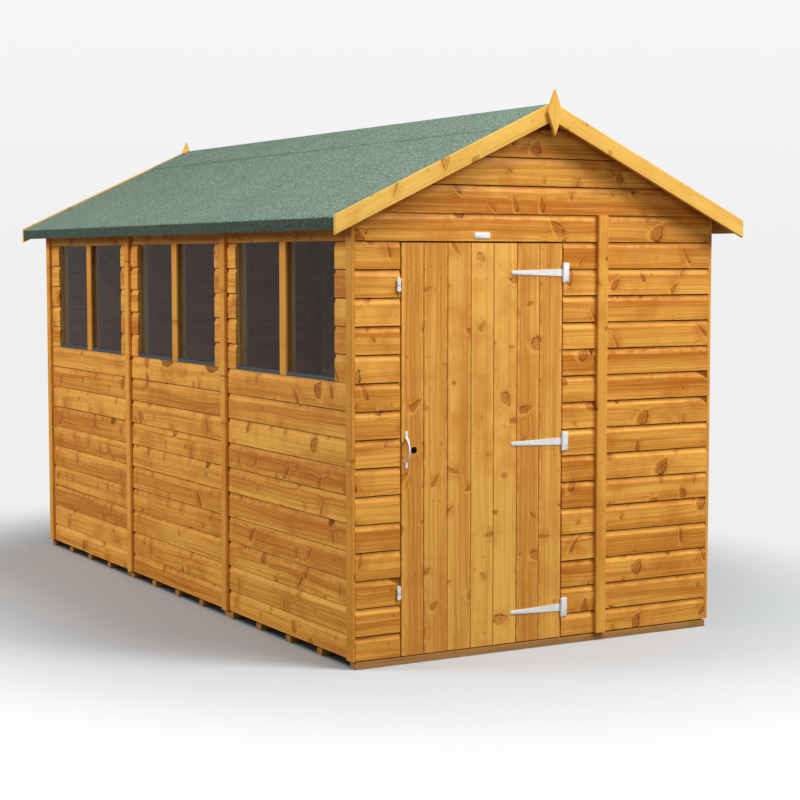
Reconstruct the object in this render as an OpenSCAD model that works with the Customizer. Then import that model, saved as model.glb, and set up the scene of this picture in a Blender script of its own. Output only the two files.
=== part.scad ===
// Apex garden shed in shiplap panels, with a windowed side, a single ledged door and a felted roof.
// Origin on the ground under the middle of the shed, +Z up, the door gable facing -Y. Millimetres.

/* [Wall panels] */
// Width of each wall panel along the sides
panel_w = 1163; // [960:1:1400]
// Width of the narrow panel that makes up each gable wall
narrow_panel_w = 570; // [470:1:690]
// Wall panels along each side
side_panels = 3; // [2:1:4]
// Full courses of shiplap in a wall, above the trimmed bottom course
courses = 15; // [12:1:18]
// Height that each course of shiplap covers
course_h = 110.3; // [90:0.1:135]
// Height of the trimmed bottom course
bottom_course_h = 96.5; // [60:0.5:120]
// Thickness of the shiplap boards
cladding_t = 12; // [9:0.5:16]
// Depth of the wall framing behind the boards
frame_d = 44; // [34:1:60]
// Thickness of each stud and rail, seen from the front
frame_w = 28; // [22:1:38]
// Gap left between neighbouring panels
panel_gap = 1; // [0.5:0.1:2]

/* [Base] */
// Height of the bearers under the floor
bearer_h = 28; // [22:1:60]
// Width of each bearer
bearer_w = 44; // [34:1:60]
// Bearers under each floor section
bearers_per_section = 5; // [3:1:6]
// Thickness of the floor boards
floor_t = 12; // [9:0.5:20]
// How far the shiplap laps down over the edge of the floor
cladding_lap = 7; // [3:0.5:8]
// Running gap kept behind the door boards
door_back_gap = 5; // [5:0.5:8]

/* [Windows] */
// Width of the boards on either side of each window
window_side_w = 114.5; // [80:0.5:140]
// Courses of shiplap that the windows take up
window_courses = 5; // [3:1:7]
// Courses of shiplap above the windows
courses_over_windows = 1; // [1:1:3]
// Width of the post strip between the two panes
mullion_w = 60; // [40:1:80]
// Thickness of the clear sheet glazing
glass_t = 3; // [2:0.5:4]
// Depth of the glazing behind the back of the boards
glass_set = 5; // [3:0.5:10]
// Height of the grey strip along the foot of each pane
sill_h = 16; // [10:1:24]

/* [Door] */
// Width of the door
door_w = 759; // [620:1:920]
// Width of the boards between the corner and the door opening
closing_side_w = 199.5; // [160:0.5:240]
// Width of the boards between the door opening and the narrow panel
hinge_side_w = 190.5; // [150:0.5:240]
// Gap round the door
door_gap = 7; // [6.5:0.5:10]
// Thickness of the door boards
door_t = 12; // [10:0.5:16]
// Height of each ledge across the back of the door
ledge_h = 94; // [60:1:120]
// Thickness of the ledges and braces
ledge_t = 28; // [18:1:34]
// Distance of the ledges from the door's long edges
ledge_inset = 45; // [30:1:80]
// Distance of the top hinge below the head of the door
top_hinge_drop = 118.7; // [95:0.1:300]
// Height of the bottom hinge above the foot of the door
bottom_hinge_h = 124; // [100:1:300]
// Diameter of the keyhole
keyhole_d = 28; // [16:1:32]
// Height of the keyhole and of the middle of the handle above the foot of the door
keyhole_h = 818; // [700:1:1000]
// Distance of the keyhole from the door's closing edge
keyhole_inset = 56; // [50:1:90]

/* [Hinges] */
// Length of each strap from its tip to the hinge pin
strap_l = 252; // [180:1:320]
// Width of the strap at the pin
strap_w = 30; // [24:1:40]
// Width of the strap at its tip
strap_tip_w = 16; // [10:1:22]
// Height of the fixed hinge plate
hinge_plate_h = 78; // [60:1:100]
// Reach of the fixed hinge plate from the pin
hinge_plate_w = 30; // [22:1:50]
// Thickness of the hinge steel
hinge_t = 2.5; // [1.5:0.5:3]
// Outer radius of the hinge barrel
barrel_r = 5; // [4:0.5:7]
// Radius of the hinge pin
pin_r = 2.5; // [2:0.25:3]

/* [Handle and turn buttons] */
// Overall length of the pull handle
handle_l = 148; // [120:1:200]
// Width of the pull handle
handle_w = 13; // [10:1:24]
// Reach of the pull handle from the door
handle_reach = 30; // [24:1:45]
// Thickness of the handle bar
handle_bar_t = 6; // [4:0.5:8]
// Distance of the handle from the door's closing edge
handle_inset = 20; // [16:1:40]
// Length of each turn button
button_l = 58; // [44:1:80]
// Width of each turn button
button_w = 20; // [14:1:26]
// Thickness of each turn button
button_t = 3; // [2:0.5:5]
// Clearance of a turn button in front of the boards
button_gap = 5.3; // [5:0.1:8]
// Clearance between an upright turn button and the door
button_clear = 5.3; // [5:0.1:9]
// Distance of the upper turn button below the head of the door
upper_button_drop = 162.7; // [100:0.1:400]
// Height of the lower turn button above the foot of the door
lower_button_h = 256; // [150:1:400]

/* [Roof] */
// Pitch of the roof in degrees
roof_pitch = 25; // [15:0.5:35]
// Overhang of the eaves beyond the side walls
eaves_overhang = 123.5; // [90:0.5:180]
// Overhang of the bargeboards beyond the gable walls
verge_overhang = 76; // [50:1:120]
// Height of the roof boards over the wall plates, at the side walls
eaves_rise = 21; // [10:0.5:40]
// Thickness of the roof boards
roof_board_t = 12; // [9:0.5:18]
// Thickness of the mineral felt
felt_t = 2.5; // [2:0.1:4]
// Height of the felt turned down at the eaves
felt_drop = 50; // [40:1:70]
// Spread of the ridge strip of felt on each slope
ridge_felt_w = 235; // [150:1:300]
// Height of the bargeboards, measured plumb
bargeboard_h = 74; // [60:1:110]
// Thickness of the bargeboards
bargeboard_t = 16; // [12:1:22]
// How far the bargeboards stand above the felt
bargeboard_lip = 6; // [0:0.5:10]
// Depth of the purlins below the roof boards
purlin_d = 44; // [34:1:70]
// Open gap between the gable boarding and the roof boards at the ridge
gable_top_gap = 83; // [50:1:110]
// Height of each finial
finial_h = 186; // [120:1:240]
// Width of each finial
finial_w = 74; // [50:1:100]
// Thickness of each finial
finial_t = 14; // [10:1:20]
// Distance of the widest part of each finial below the ridge
finial_drop = 43; // [30:1:60]

/* [Trim] */
// Width of the strips over the panel joints and corners
strip_w = 50; // [40:1:60]
// Thickness of the strips
strip_t = 16; // [10:1:20]
// Width of the blank name plate
plate_w = 74; // [50:1:120]
// Height of the blank name plate
plate_h = 24; // [16:1:40]
// Thickness of the blank name plate
plate_t = 3; // [1:0.5:5]
// Height of the middle of the name plate above the doorway
plate_rise = 23; // [16:1:60]
// Distance of the name plate from the middle of the door, towards the closing edge
plate_offset = 10; // [0:1:60]

/* [Hidden] */
$fn = 48;

board_colour = "#d49a4c";
trim_colour = "#e6b862";
frame_colour = "#d8b27c";
felt_colour = "#829b87";
steel_colour = "#e6e8ea";

wall_t = cladding_t + frame_d;
door_panel_w = closing_side_w + door_w + 2 * door_gap + hinge_side_w;
window_w = panel_w - 2 * window_side_w;
half_w = (door_panel_w + narrow_panel_w) / 2;
side_half = side_panels * panel_w / 2;
half_l = side_half + wall_t;
joint_x = -half_w + door_panel_w;

floor_z = bearer_h + floor_t;
cladding_z = floor_z - cladding_lap;
wall_z = cladding_z + bottom_course_h + courses * course_h;
window_z1 = wall_z - courses_over_windows * course_h;
window_z0 = window_z1 - window_courses * course_h;
middle_rail_z = floor_z + (wall_z - floor_z) / 2;

floor_inset = cladding_t + door_back_gap;
section_gap = 2;
section_l = (2 * half_l - (side_panels - 1) * section_gap) / side_panels;

door_x0 = -half_w + closing_side_w + door_gap;
door_x1 = door_x0 + door_w;
opening_x0 = door_x0 - door_gap;
opening_x1 = door_x1 + door_gap;
door_head_z = wall_z - course_h;
door_z0 = cladding_z;
door_z1 = door_head_z - door_gap;
door_y = -half_l;
door_h = door_z1 - door_z0;
top_hinge_h = door_h - top_hinge_drop;
middle_hinge_h = (bottom_hinge_h + top_hinge_h) / 2;
hinge_hs = [bottom_hinge_h, middle_hinge_h, top_hinge_h];
knuckle_gap = 0.3;
bore_gap = 0.05;
pin_x = door_x1 + door_gap / 2;
pin_y = door_y - barrel_r - 0.5;

button_x = door_x0 - button_clear - button_w / 2;
upper_button_h = door_h - upper_button_drop;
button_hs = [lower_button_h, upper_button_h];
button_bolt_r = 3;
button_head_r = 5;
button_head_t = 2;
button_boss_r = 8;

eaves_x = half_w + eaves_overhang;
verge_y = half_l + verge_overhang;
roof_y = verge_y - bargeboard_t;
slope = tan(roof_pitch);
plumb = 1 / cos(roof_pitch);
boards_under = wall_z + eaves_rise + slope * half_w;
felt_under = boards_under + roof_board_t * plumb;
felt_top = felt_under + felt_t * plumb;
ridge_z = felt_top + bargeboard_lip;
roof_seat = 0.2;
timber_top = boards_under - roof_seat;
eaves_inner_x = eaves_x - felt_t;
finial_z = ridge_z - finial_drop;

// Height of a line that follows the roof, at a distance x from the ridge
function roof_line(apex, x) = apex - slope * x;
// Distance from the ridge at which such a line comes down to height z
function roof_reach(apex, z) = (apex - z) / slope;
// Start of wall panel i along a side
function panel_y(i) = -side_half + i * panel_w;
// Middle of wall panel i along a side
function panel_mid(i) = panel_y(i) + panel_w / 2;

// A block between two opposite corners
module block(a, b) {
    translate([min(a.x, b.x), min(a.y, b.y), min(a.z, b.z)])
        cube([abs(b.x - a.x), abs(b.y - a.y), abs(b.z - a.z)]);
}

// A flat outline in X and Z, drawn out along Y from y0 to y1
module along_y(outline, y0, y1) {
    translate([0, y1, 0])
        rotate([90, 0, 0])
            linear_extrude(y1 - y0)
                polygon(outline);
}

// The front and the back of the shed
module both_ends() {
    children();
    mirror([0, 1, 0]) children();
}

// The left and the right side of the shed
module both_sides() {
    children();
    mirror([1, 0, 0]) children();
}

// ---- Base ----

// Bearers on the ground, in sections that butt at the panel joints
module floor_bearers() {
    step = (section_l - bearer_w) / (bearers_per_section - 1);
    color(frame_colour)
        for (s = [0 : side_panels - 1], i = [0 : bearers_per_section - 1]) {
            y = -half_l + s * (section_l + section_gap) + i * step;
            block([-half_w, y, 0], [half_w, y + bearer_w, bearer_h]);
        }
}

// Boarded floor sections, set in behind the shiplap
module floor_boards() {
    color(frame_colour)
        for (s = [0 : side_panels - 1]) {
            y0 = -half_l + s * (section_l + section_gap);
            first = s == 0 ? floor_inset : 0;
            last = s == side_panels - 1 ? floor_inset : 0;
            block([-half_w + floor_inset, y0 + first, bearer_h],
                  [half_w - floor_inset, y0 + section_l - last, floor_z]);
        }
}

// ---- Side walls ----

// One slab of shiplap on the outside of a side wall, from y0 to y1 and from z0 to z1
module side_slab(y0, y1, z0, z1) {
    block([-half_w, y0, z0], [-half_w + cladding_t, y1, z1]);
}

// One framing timber of a side wall
module side_timber(y0, y1, z0, z1) {
    block([-half_w + cladding_t, y0, z0], [-half_w + wall_t, y1, z1]);
}

module left_boards_below_windows() {
    color(board_colour)
        for (i = [0 : side_panels - 1])
            side_slab(panel_y(i) + panel_gap / 2, panel_y(i + 1) - panel_gap / 2, cladding_z, window_z0);
}

module left_boards_beside_windows() {
    color(board_colour)
        for (i = [0 : side_panels - 1]) {
            side_slab(panel_y(i) + panel_gap / 2, panel_mid(i) - window_w / 2, window_z0, window_z1);
            side_slab(panel_mid(i) + window_w / 2, panel_y(i + 1) - panel_gap / 2, window_z0, window_z1);
        }
}

module left_boards_over_windows() {
    color(board_colour)
        for (i = [0 : side_panels - 1])
            side_slab(panel_y(i) + panel_gap / 2, panel_y(i + 1) - panel_gap / 2, window_z1, wall_z);
}

// Edge studs and a middle stud in each panel
module side_wall_studs() {
    for (i = [0 : side_panels - 1], y = [panel_y(i) + panel_gap / 2, panel_mid(i) - frame_w / 2,
                                         panel_y(i + 1) - panel_gap / 2 - frame_w])
        side_timber(y, y + frame_w, floor_z + frame_w, wall_z - frame_w);
}

// Bottom and top rails of each panel
module side_wall_plates() {
    for (i = [0 : side_panels - 1], z = [floor_z, wall_z - frame_w])
        side_timber(panel_y(i) + panel_gap / 2, panel_y(i + 1) - panel_gap / 2, z, z + frame_w);
}

// Studs of the windowed side, with one more at each edge of a window
module left_wall_studs() {
    color(frame_colour) {
        side_wall_studs();
        for (i = [0 : side_panels - 1], y = [panel_mid(i) - window_w / 2 - frame_w, panel_mid(i) + window_w / 2])
            side_timber(y, y + frame_w, floor_z + frame_w, wall_z - frame_w);
    }
}

// Rails of the windowed side, with one below and one above each pane
module left_wall_rails() {
    color(frame_colour) {
        side_wall_plates();
        for (i = [0 : side_panels - 1], z = [window_z0 - frame_w, window_z1]) {
            side_timber(panel_mid(i) - window_w / 2, panel_mid(i) - frame_w / 2, z, z + frame_w);
            side_timber(panel_mid(i) + frame_w / 2, panel_mid(i) + window_w / 2, z, z + frame_w);
        }
    }
}

// Two panes in each window, held between the studs
module window_glass() {
    x = -half_w + cladding_t + glass_set;
    color("#3a3836")
        for (i = [0 : side_panels - 1]) {
            block([x, panel_mid(i) - window_w / 2, window_z0], [x + glass_t, panel_mid(i) - frame_w / 2, window_z1]);
            block([x, panel_mid(i) + frame_w / 2, window_z0], [x + glass_t, panel_mid(i) + window_w / 2, window_z1]);
        }
}

// The strip over the middle stud of each window
module window_mullions() {
    color(board_colour)
        for (i = [0 : side_panels - 1])
            side_slab(panel_mid(i) - mullion_w / 2, panel_mid(i) + mullion_w / 2, window_z0, window_z1);
}

// A grey strip along the foot of each pane
module window_sills() {
    color("#56646e")
        for (i = [0 : side_panels - 1], s = [-1, 1])
            block([-half_w + 1, panel_mid(i) + s * mullion_w / 2, window_z0],
                  [-half_w + cladding_t + glass_set, panel_mid(i) + s * window_w / 2, window_z0 + sill_h]);
}

module right_wall_boards() {
    color(board_colour)
        mirror([1, 0, 0])
            for (i = [0 : side_panels - 1])
                side_slab(panel_y(i) + panel_gap / 2, panel_y(i + 1) - panel_gap / 2, cladding_z, wall_z);
}

module right_wall_studs() {
    color(frame_colour)
        mirror([1, 0, 0])
            side_wall_studs();
}

// Rails of the plain side, with one at half height between the studs
module right_wall_rails() {
    color(frame_colour)
        mirror([1, 0, 0]) {
            side_wall_plates();
            for (i = [0 : side_panels - 1]) {
                side_timber(panel_y(i) + panel_gap / 2 + frame_w, panel_mid(i) - frame_w / 2,
                            middle_rail_z, middle_rail_z + frame_w);
                side_timber(panel_mid(i) + frame_w / 2, panel_y(i + 1) - panel_gap / 2 - frame_w,
                            middle_rail_z, middle_rail_z + frame_w);
            }
        }
}

// ---- Gable walls ----

// One slab of shiplap on the outside of the front wall
module front_slab(x0, x1, z0, z1) {
    block([x0, -half_l, z0], [x1, -half_l + cladding_t, z1]);
}

// One framing timber of the front wall
module front_timber(x0, x1, z0, z1) {
    block([x0, -half_l + cladding_t, z0], [x1, -half_l + wall_t, z1]);
}

// A stud of the front wall that starts at x
module front_stud(x) {
    front_timber(x, x + frame_w, floor_z + frame_w, wall_z - frame_w);
}

// Studs of the narrow panel
module narrow_panel_studs() {
    for (x = [joint_x + panel_gap / 2, (joint_x + half_w - frame_w) / 2, half_w - frame_w])
        front_stud(x);
}

// The shiplap triangle over a gable wall, cut off level below the ridge
module gable_boards() {
    top = timber_top - gable_top_gap;
    top_x = roof_reach(timber_top, top);
    side_z = roof_line(timber_top, half_w);
    along_y([[-half_w, wall_z], [half_w, wall_z], [half_w, side_z], [top_x, top], [-top_x, top], [-half_w, side_z]],
            -half_l, -half_l + cladding_t);
}

module boards_beside_door() {
    color(board_colour) {
        front_slab(-half_w, opening_x0, cladding_z, door_head_z);
        front_slab(opening_x1, joint_x - panel_gap / 2, cladding_z, door_head_z);
    }
}

module boards_over_door() {
    color(board_colour)
        front_slab(-half_w, joint_x - panel_gap / 2, door_head_z, wall_z);
}

module front_narrow_panel_boards() {
    color(board_colour)
        front_slab(joint_x + panel_gap / 2, half_w, cladding_z, wall_z);
}

module front_wall_studs() {
    color(frame_colour) {
        for (x = [-half_w, opening_x0 - frame_w, opening_x1, joint_x - panel_gap / 2 - frame_w])
            front_stud(x);
        narrow_panel_studs();
    }
}

// Bottom rails either side of the doorway, the rail over the door and the top rails
module front_wall_rails() {
    color(frame_colour) {
        front_timber(-half_w, opening_x0, floor_z, floor_z + frame_w);
        front_timber(opening_x1, joint_x - panel_gap / 2, floor_z, floor_z + frame_w);
        front_timber(joint_x + panel_gap / 2, half_w, floor_z, floor_z + frame_w);
        front_timber(opening_x0, opening_x1, door_head_z, door_head_z + frame_w);
        front_timber(-half_w, joint_x - panel_gap / 2, wall_z - frame_w, wall_z);
        front_timber(joint_x + panel_gap / 2, half_w, wall_z - frame_w, wall_z);
    }
}

module front_gable_boards() {
    color(board_colour)
        gable_boards();
}

module back_wall_boards() {
    color(board_colour)
        mirror([0, 1, 0]) {
            front_slab(-half_w, joint_x - panel_gap / 2, cladding_z, wall_z);
            front_slab(joint_x + panel_gap / 2, half_w, cladding_z, wall_z);
        }
}

module back_wall_studs() {
    color(frame_colour)
        mirror([0, 1, 0]) {
            for (x = [-half_w, -half_w + door_panel_w / 2 - frame_w / 2, joint_x - panel_gap / 2 - frame_w])
                front_stud(x);
            narrow_panel_studs();
        }
}

module back_wall_rails() {
    mid_x = -half_w + door_panel_w / 2;
    color(frame_colour)
        mirror([0, 1, 0]) {
            for (z = [floor_z, wall_z - frame_w]) {
                front_timber(-half_w, joint_x - panel_gap / 2, z, z + frame_w);
                front_timber(joint_x + panel_gap / 2, half_w, z, z + frame_w);
            }
            front_timber(-half_w + frame_w, mid_x - frame_w / 2, middle_rail_z, middle_rail_z + frame_w);
            front_timber(mid_x + frame_w / 2, joint_x - panel_gap / 2 - frame_w,
                         middle_rail_z, middle_rail_z + frame_w);
        }
}

module back_gable_boards() {
    color(board_colour)
        mirror([0, 1, 0])
            gable_boards();
}

// The rail along the foot of each gable triangle
module gable_bottom_rails() {
    reach = min(half_w, roof_reach(timber_top, wall_z + frame_w));
    color(frame_colour)
        both_ends()
            front_timber(-reach, reach, wall_z, wall_z + frame_w);
}

// The sloping rails under the roof boards at each gable
module gable_rafters() {
    z = wall_z + frame_w;
    under = timber_top - frame_w * plumb;
    ridge_gap = 0.5;
    color(frame_colour)
        both_ends()
            both_sides()
                along_y([[ridge_gap, roof_line(timber_top, ridge_gap)], [roof_reach(timber_top, z), z],
                         [roof_reach(under, z), z], [ridge_gap, roof_line(under, ridge_gap)]],
                        -half_l + cladding_t, -half_l + wall_t);
}

// ---- Cover strips ----

// Upright strips on the side walls that close the four corners
module corner_strips() {
    color(board_colour)
        both_ends()
            both_sides()
                block([-half_w - strip_t, -half_l, cladding_z], [-half_w, -half_l + strip_w, wall_z]);
}

// Upright strips over the joints between panels
module panel_joint_strips() {
    color(board_colour) {
        for (i = [1 : side_panels - 1])
            both_sides()
                block([-half_w - strip_t, panel_y(i) - strip_w / 2, cladding_z],
                      [-half_w, panel_y(i) + strip_w / 2, wall_z]);
        both_ends()
            block([joint_x - strip_w / 2, -half_l - strip_t, cladding_z], [joint_x + strip_w / 2, -half_l, wall_z]);
    }
}

// ---- Roof ----

// One slope of roof boards, on the side of positive x
module roof_slope() {
    along_y([[0, felt_under], [eaves_inner_x, roof_line(felt_under, eaves_inner_x)],
             [eaves_inner_x, roof_line(boards_under, eaves_inner_x)], [0, boards_under]], -roof_y, roof_y);
}

// Felt on one slope, turned down over the eaves
module slope_felt() {
    drop_z = roof_line(felt_top, eaves_x) - felt_drop;
    felt_seat = felt_under + roof_seat;
    along_y([[0, felt_top], [eaves_x, roof_line(felt_top, eaves_x)], [eaves_x, drop_z], [eaves_inner_x, drop_z],
             [eaves_inner_x, roof_line(felt_seat, eaves_inner_x)], [0, felt_seat]], -roof_y, roof_y);
}

module left_roof_boards() {
    color(frame_colour)
        mirror([1, 0, 0])
            roof_slope();
}

module right_roof_boards() {
    color(frame_colour)
        roof_slope();
}

// A timber under one slope between x0 and x1, its top cut to the slope and its foot level at z
module slope_timber(x0, x1, z, y) {
    along_y([[x0, roof_line(timber_top, x0)], [x1, roof_line(timber_top, x1)], [x1, z], [x0, z]], -y, y);
}

// Ridge, middle and wall plate purlins of each slope, between the gable frames
module roof_purlins() {
    ridge_gap = 1;
    mid_x = half_w / 2;
    plate_x = half_w - cladding_t;
    y = half_l - wall_t;
    color(frame_colour)
        both_sides() {
            slope_timber(ridge_gap, ridge_gap + frame_w, timber_top - purlin_d - slope * frame_w, y);
            slope_timber(mid_x, mid_x + frame_w, roof_line(timber_top, mid_x + frame_w) - purlin_d, y);
            slope_timber(plate_x - frame_w, plate_x, wall_z, y);
        }
}

// Battens under the eaves that the turned-down felt is nailed to
module eaves_battens() {
    color(frame_colour)
        both_sides()
            slope_timber(eaves_inner_x - frame_w, eaves_inner_x, roof_line(felt_top, eaves_x) - felt_drop, roof_y);
}

module left_roof_felt() {
    color(felt_colour)
        mirror([1, 0, 0])
            slope_felt();
}

module right_roof_felt() {
    color(felt_colour)
        slope_felt();
}

// The strip of felt that laps both slopes along the ridge
module ridge_felt() {
    under = felt_top + roof_seat;
    top = under + felt_t * plumb;
    color(felt_colour)
        along_y([[0, top], [ridge_felt_w, roof_line(top, ridge_felt_w)], [ridge_felt_w, roof_line(under, ridge_felt_w)],
                 [0, under], [-ridge_felt_w, roof_line(under, ridge_felt_w)],
                 [-ridge_felt_w, roof_line(top, ridge_felt_w)]], -roof_y, roof_y);
}

// A pair of bargeboards, mitred at the ridge and cut plumb at the eaves
module bargeboards() {
    ridge_gap = 0.5;
    low = ridge_z - bargeboard_h;
    color(trim_colour)
        both_sides()
            along_y([[ridge_gap, roof_line(ridge_z, ridge_gap)], [eaves_x, roof_line(ridge_z, eaves_x)],
                     [eaves_x, roof_line(low, eaves_x)], [ridge_gap, roof_line(low, ridge_gap)]], -verge_y, -roof_y);
}

module front_bargeboards() {
    bargeboards();
}

module back_bargeboards() {
    mirror([0, 1, 0])
        bargeboards();
}

// Long diamonds over the mitre of each pair of bargeboards
module finials() {
    color(trim_colour)
        both_ends()
            along_y([[0, finial_z + finial_h / 2], [finial_w / 2, finial_z], [0, finial_z - finial_h / 2],
                     [-finial_w / 2, finial_z]], -verge_y - finial_t, -verge_y);
}

// ---- Door ----

// Upright boards of the door, with the keyhole bored through
module door_boards() {
    color("#dca45c")
        difference() {
            block([door_x0, door_y, door_z0], [door_x1, door_y + door_t, door_z1]);
            translate([door_x0 + keyhole_inset, door_y + door_t + 1, door_z0 + keyhole_h])
                rotate([90, 0, 0])
                    cylinder(d = keyhole_d, h = door_t + 2);
        }
}

// Ledges across the back of the door, one behind each hinge
module door_ledges() {
    color(frame_colour)
        for (h = hinge_hs)
            block([door_x0 + ledge_inset, door_y + door_t, door_z0 + h - ledge_h / 2],
                  [door_x1 - ledge_inset, door_y + door_t + ledge_t, door_z0 + h + ledge_h / 2]);
}

// A brace between two ledges, rising from the hinge side to the closing side
module door_brace(h0, h1) {
    brace_w = 80;
    x0 = door_x0 + ledge_inset;
    x1 = door_x1 - ledge_inset;
    z0 = door_z0 + h0 + ledge_h / 2;
    z1 = door_z0 + h1 - ledge_h / 2;
    along_y([[x1, z0], [x1, z0 + brace_w / 2], [x0 + brace_w, z1], [x0, z1], [x0, z1 - brace_w / 2],
             [x1 - brace_w, z0]], door_y + door_t, door_y + door_t + ledge_t);
}

module door_braces() {
    color(frame_colour) {
        door_brace(bottom_hinge_h, middle_hinge_h);
        door_brace(middle_hinge_h, top_hinge_h);
    }
}

// Bow handle: two feet and a bar that stands off the door
module door_handle() {
    above_keyhole = 4;
    foot_l = 30;
    foot_t = 3;
    leg_h = handle_l / 2 - foot_l;
    shoulder_h = 18;
    grip_h = leg_h - shoulder_h;
    inner_h = grip_h - handle_bar_t / 2;
    color(steel_colour)
        translate([door_x0 + handle_inset - handle_w / 2, door_y, door_z0 + keyhole_h + above_keyhole])
            rotate([90, 0, 90])
                linear_extrude(handle_w)
                    union() {
                        polygon([[0, leg_h + foot_l], [-foot_t, leg_h + foot_l], [-foot_t, leg_h],
                                 [-handle_reach, grip_h], [-handle_reach, -grip_h], [-foot_t, -leg_h],
                                 [-foot_t, -leg_h - foot_l], [0, -leg_h - foot_l], [0, -leg_h + handle_bar_t],
                                 [handle_bar_t - handle_reach, -inner_h], [handle_bar_t - handle_reach, inner_h],
                                 [0, leg_h - handle_bar_t]]);
                    }
}

// Tapered strap with a round tip and one knuckle on the hinge pin
module hinge_strap() {
    knuckle_h = strap_w - 2 * knuckle_gap;
    tip_r = strap_tip_w / 2;
    root_x = -barrel_r - 8;
    difference() {
        union() {
            translate([pin_x, door_y, 0])
                rotate([90, 0, 0])
                    linear_extrude(hinge_t)
                        union() {
                            polygon([[0, knuckle_h / 2], [root_x, knuckle_h / 2], [tip_r - strap_l, tip_r],
                                     [tip_r - strap_l, -tip_r], [root_x, -knuckle_h / 2],
                                     [0, -knuckle_h / 2]]);
                            translate([tip_r - strap_l, 0])
                                circle(tip_r);
                        }
            translate([pin_x, pin_y, -knuckle_h / 2])
                cylinder(r = barrel_r, h = knuckle_h);
        }
        translate([pin_x, pin_y, -knuckle_h / 2 - 1])
            cylinder(r = pin_r + bore_gap, h = knuckle_h + 2);
    }
}

// Fixed plate with a knuckle above and below the strap, and the pin through all three
module hinge_plate() {
    half_h = hinge_plate_h / 2;
    notch_x = barrel_r + 1.5;
    union() {
        translate([pin_x, door_y, 0])
            rotate([90, 0, 0])
                linear_extrude(hinge_t)
                    polygon([[0, half_h], [hinge_plate_w, half_h], [hinge_plate_w, -half_h], [0, -half_h],
                             [0, -strap_w / 2], [notch_x, -strap_w / 2], [notch_x, strap_w / 2],
                             [0, strap_w / 2]]);
        for (z = [-half_h, strap_w / 2])
            translate([pin_x, pin_y, z])
                cylinder(r = barrel_r, h = half_h - strap_w / 2);
        translate([pin_x, pin_y, -half_h])
            cylinder(r = pin_r, h = hinge_plate_h);
    }
}

module hinge_straps() {
    color(steel_colour)
        for (h = hinge_hs)
            translate([0, 0, door_z0 + h])
                hinge_strap();
}

module hinge_plates() {
    color(steel_colour)
        for (h = hinge_hs)
            translate([0, 0, door_z0 + h])
                hinge_plate();
}

// ---- Turn buttons and name plate ----

// Boss, bolt and head that each turn button turns on
module turn_button_bolts() {
    color(steel_colour)
        for (h = button_hs)
            translate([button_x, -half_l, door_z0 + h])
                rotate([90, 0, 0]) {
                    cylinder(r = button_boss_r, h = button_gap - knuckle_gap);
                    cylinder(r = button_bolt_r, h = button_gap + button_t + knuckle_gap + button_head_t);
                    translate([0, 0, button_gap + button_t + knuckle_gap])
                        cylinder(r = button_head_r, h = button_head_t);
                }
}

// A flat bar with round ends that turns across the edge of the door
module turn_button(h) {
    end_r = button_w / 2;
    reach = button_l / 2 - end_r;
    waist_w = 0.7 * button_w;
    color(steel_colour)
        translate([button_x, -half_l - button_gap, door_z0 + h])
            rotate([90, 0, 0])
                difference() {
                    linear_extrude(button_t)
                        union() {
                            square([waist_w, 2 * reach], center = true);
                            for (s = [-1, 1])
                                translate([0, s * reach])
                                    circle(end_r);
                        }
                    translate([0, 0, -1])
                        cylinder(r = button_bolt_r + bore_gap, h = button_t + 2);
                }
}

module upper_turn_button() {
    turn_button(upper_button_h);
}

module lower_turn_button() {
    turn_button(lower_button_h);
}

// Blank plate on the boards over the door
module name_plate() {
    x = (door_x0 + door_x1) / 2 - plate_offset;
    z = door_head_z + plate_rise;
    color(steel_colour)
        block([x - plate_w / 2, -half_l - plate_t, z - plate_h / 2], [x + plate_w / 2, -half_l, z + plate_h / 2]);
}

floor_bearers();
floor_boards();
left_boards_below_windows();
left_boards_beside_windows();
left_boards_over_windows();
left_wall_studs();
left_wall_rails();
window_glass();
window_mullions();
window_sills();
right_wall_boards();
right_wall_studs();
right_wall_rails();
back_wall_boards();
back_wall_studs();
back_wall_rails();
back_gable_boards();
boards_beside_door();
boards_over_door();
front_narrow_panel_boards();
front_wall_studs();
front_wall_rails();
front_gable_boards();
gable_bottom_rails();
gable_rafters();
corner_strips();
panel_joint_strips();
left_roof_boards();
right_roof_boards();
roof_purlins();
eaves_battens();
left_roof_felt();
right_roof_felt();
ridge_felt();
front_bargeboards();
back_bargeboards();
finials();
door_boards();
door_ledges();
door_braces();
door_handle();
hinge_straps();
hinge_plates();
turn_button_bolts();
upper_turn_button();
lower_turn_button();
name_plate();
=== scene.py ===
import math
import random

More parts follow.
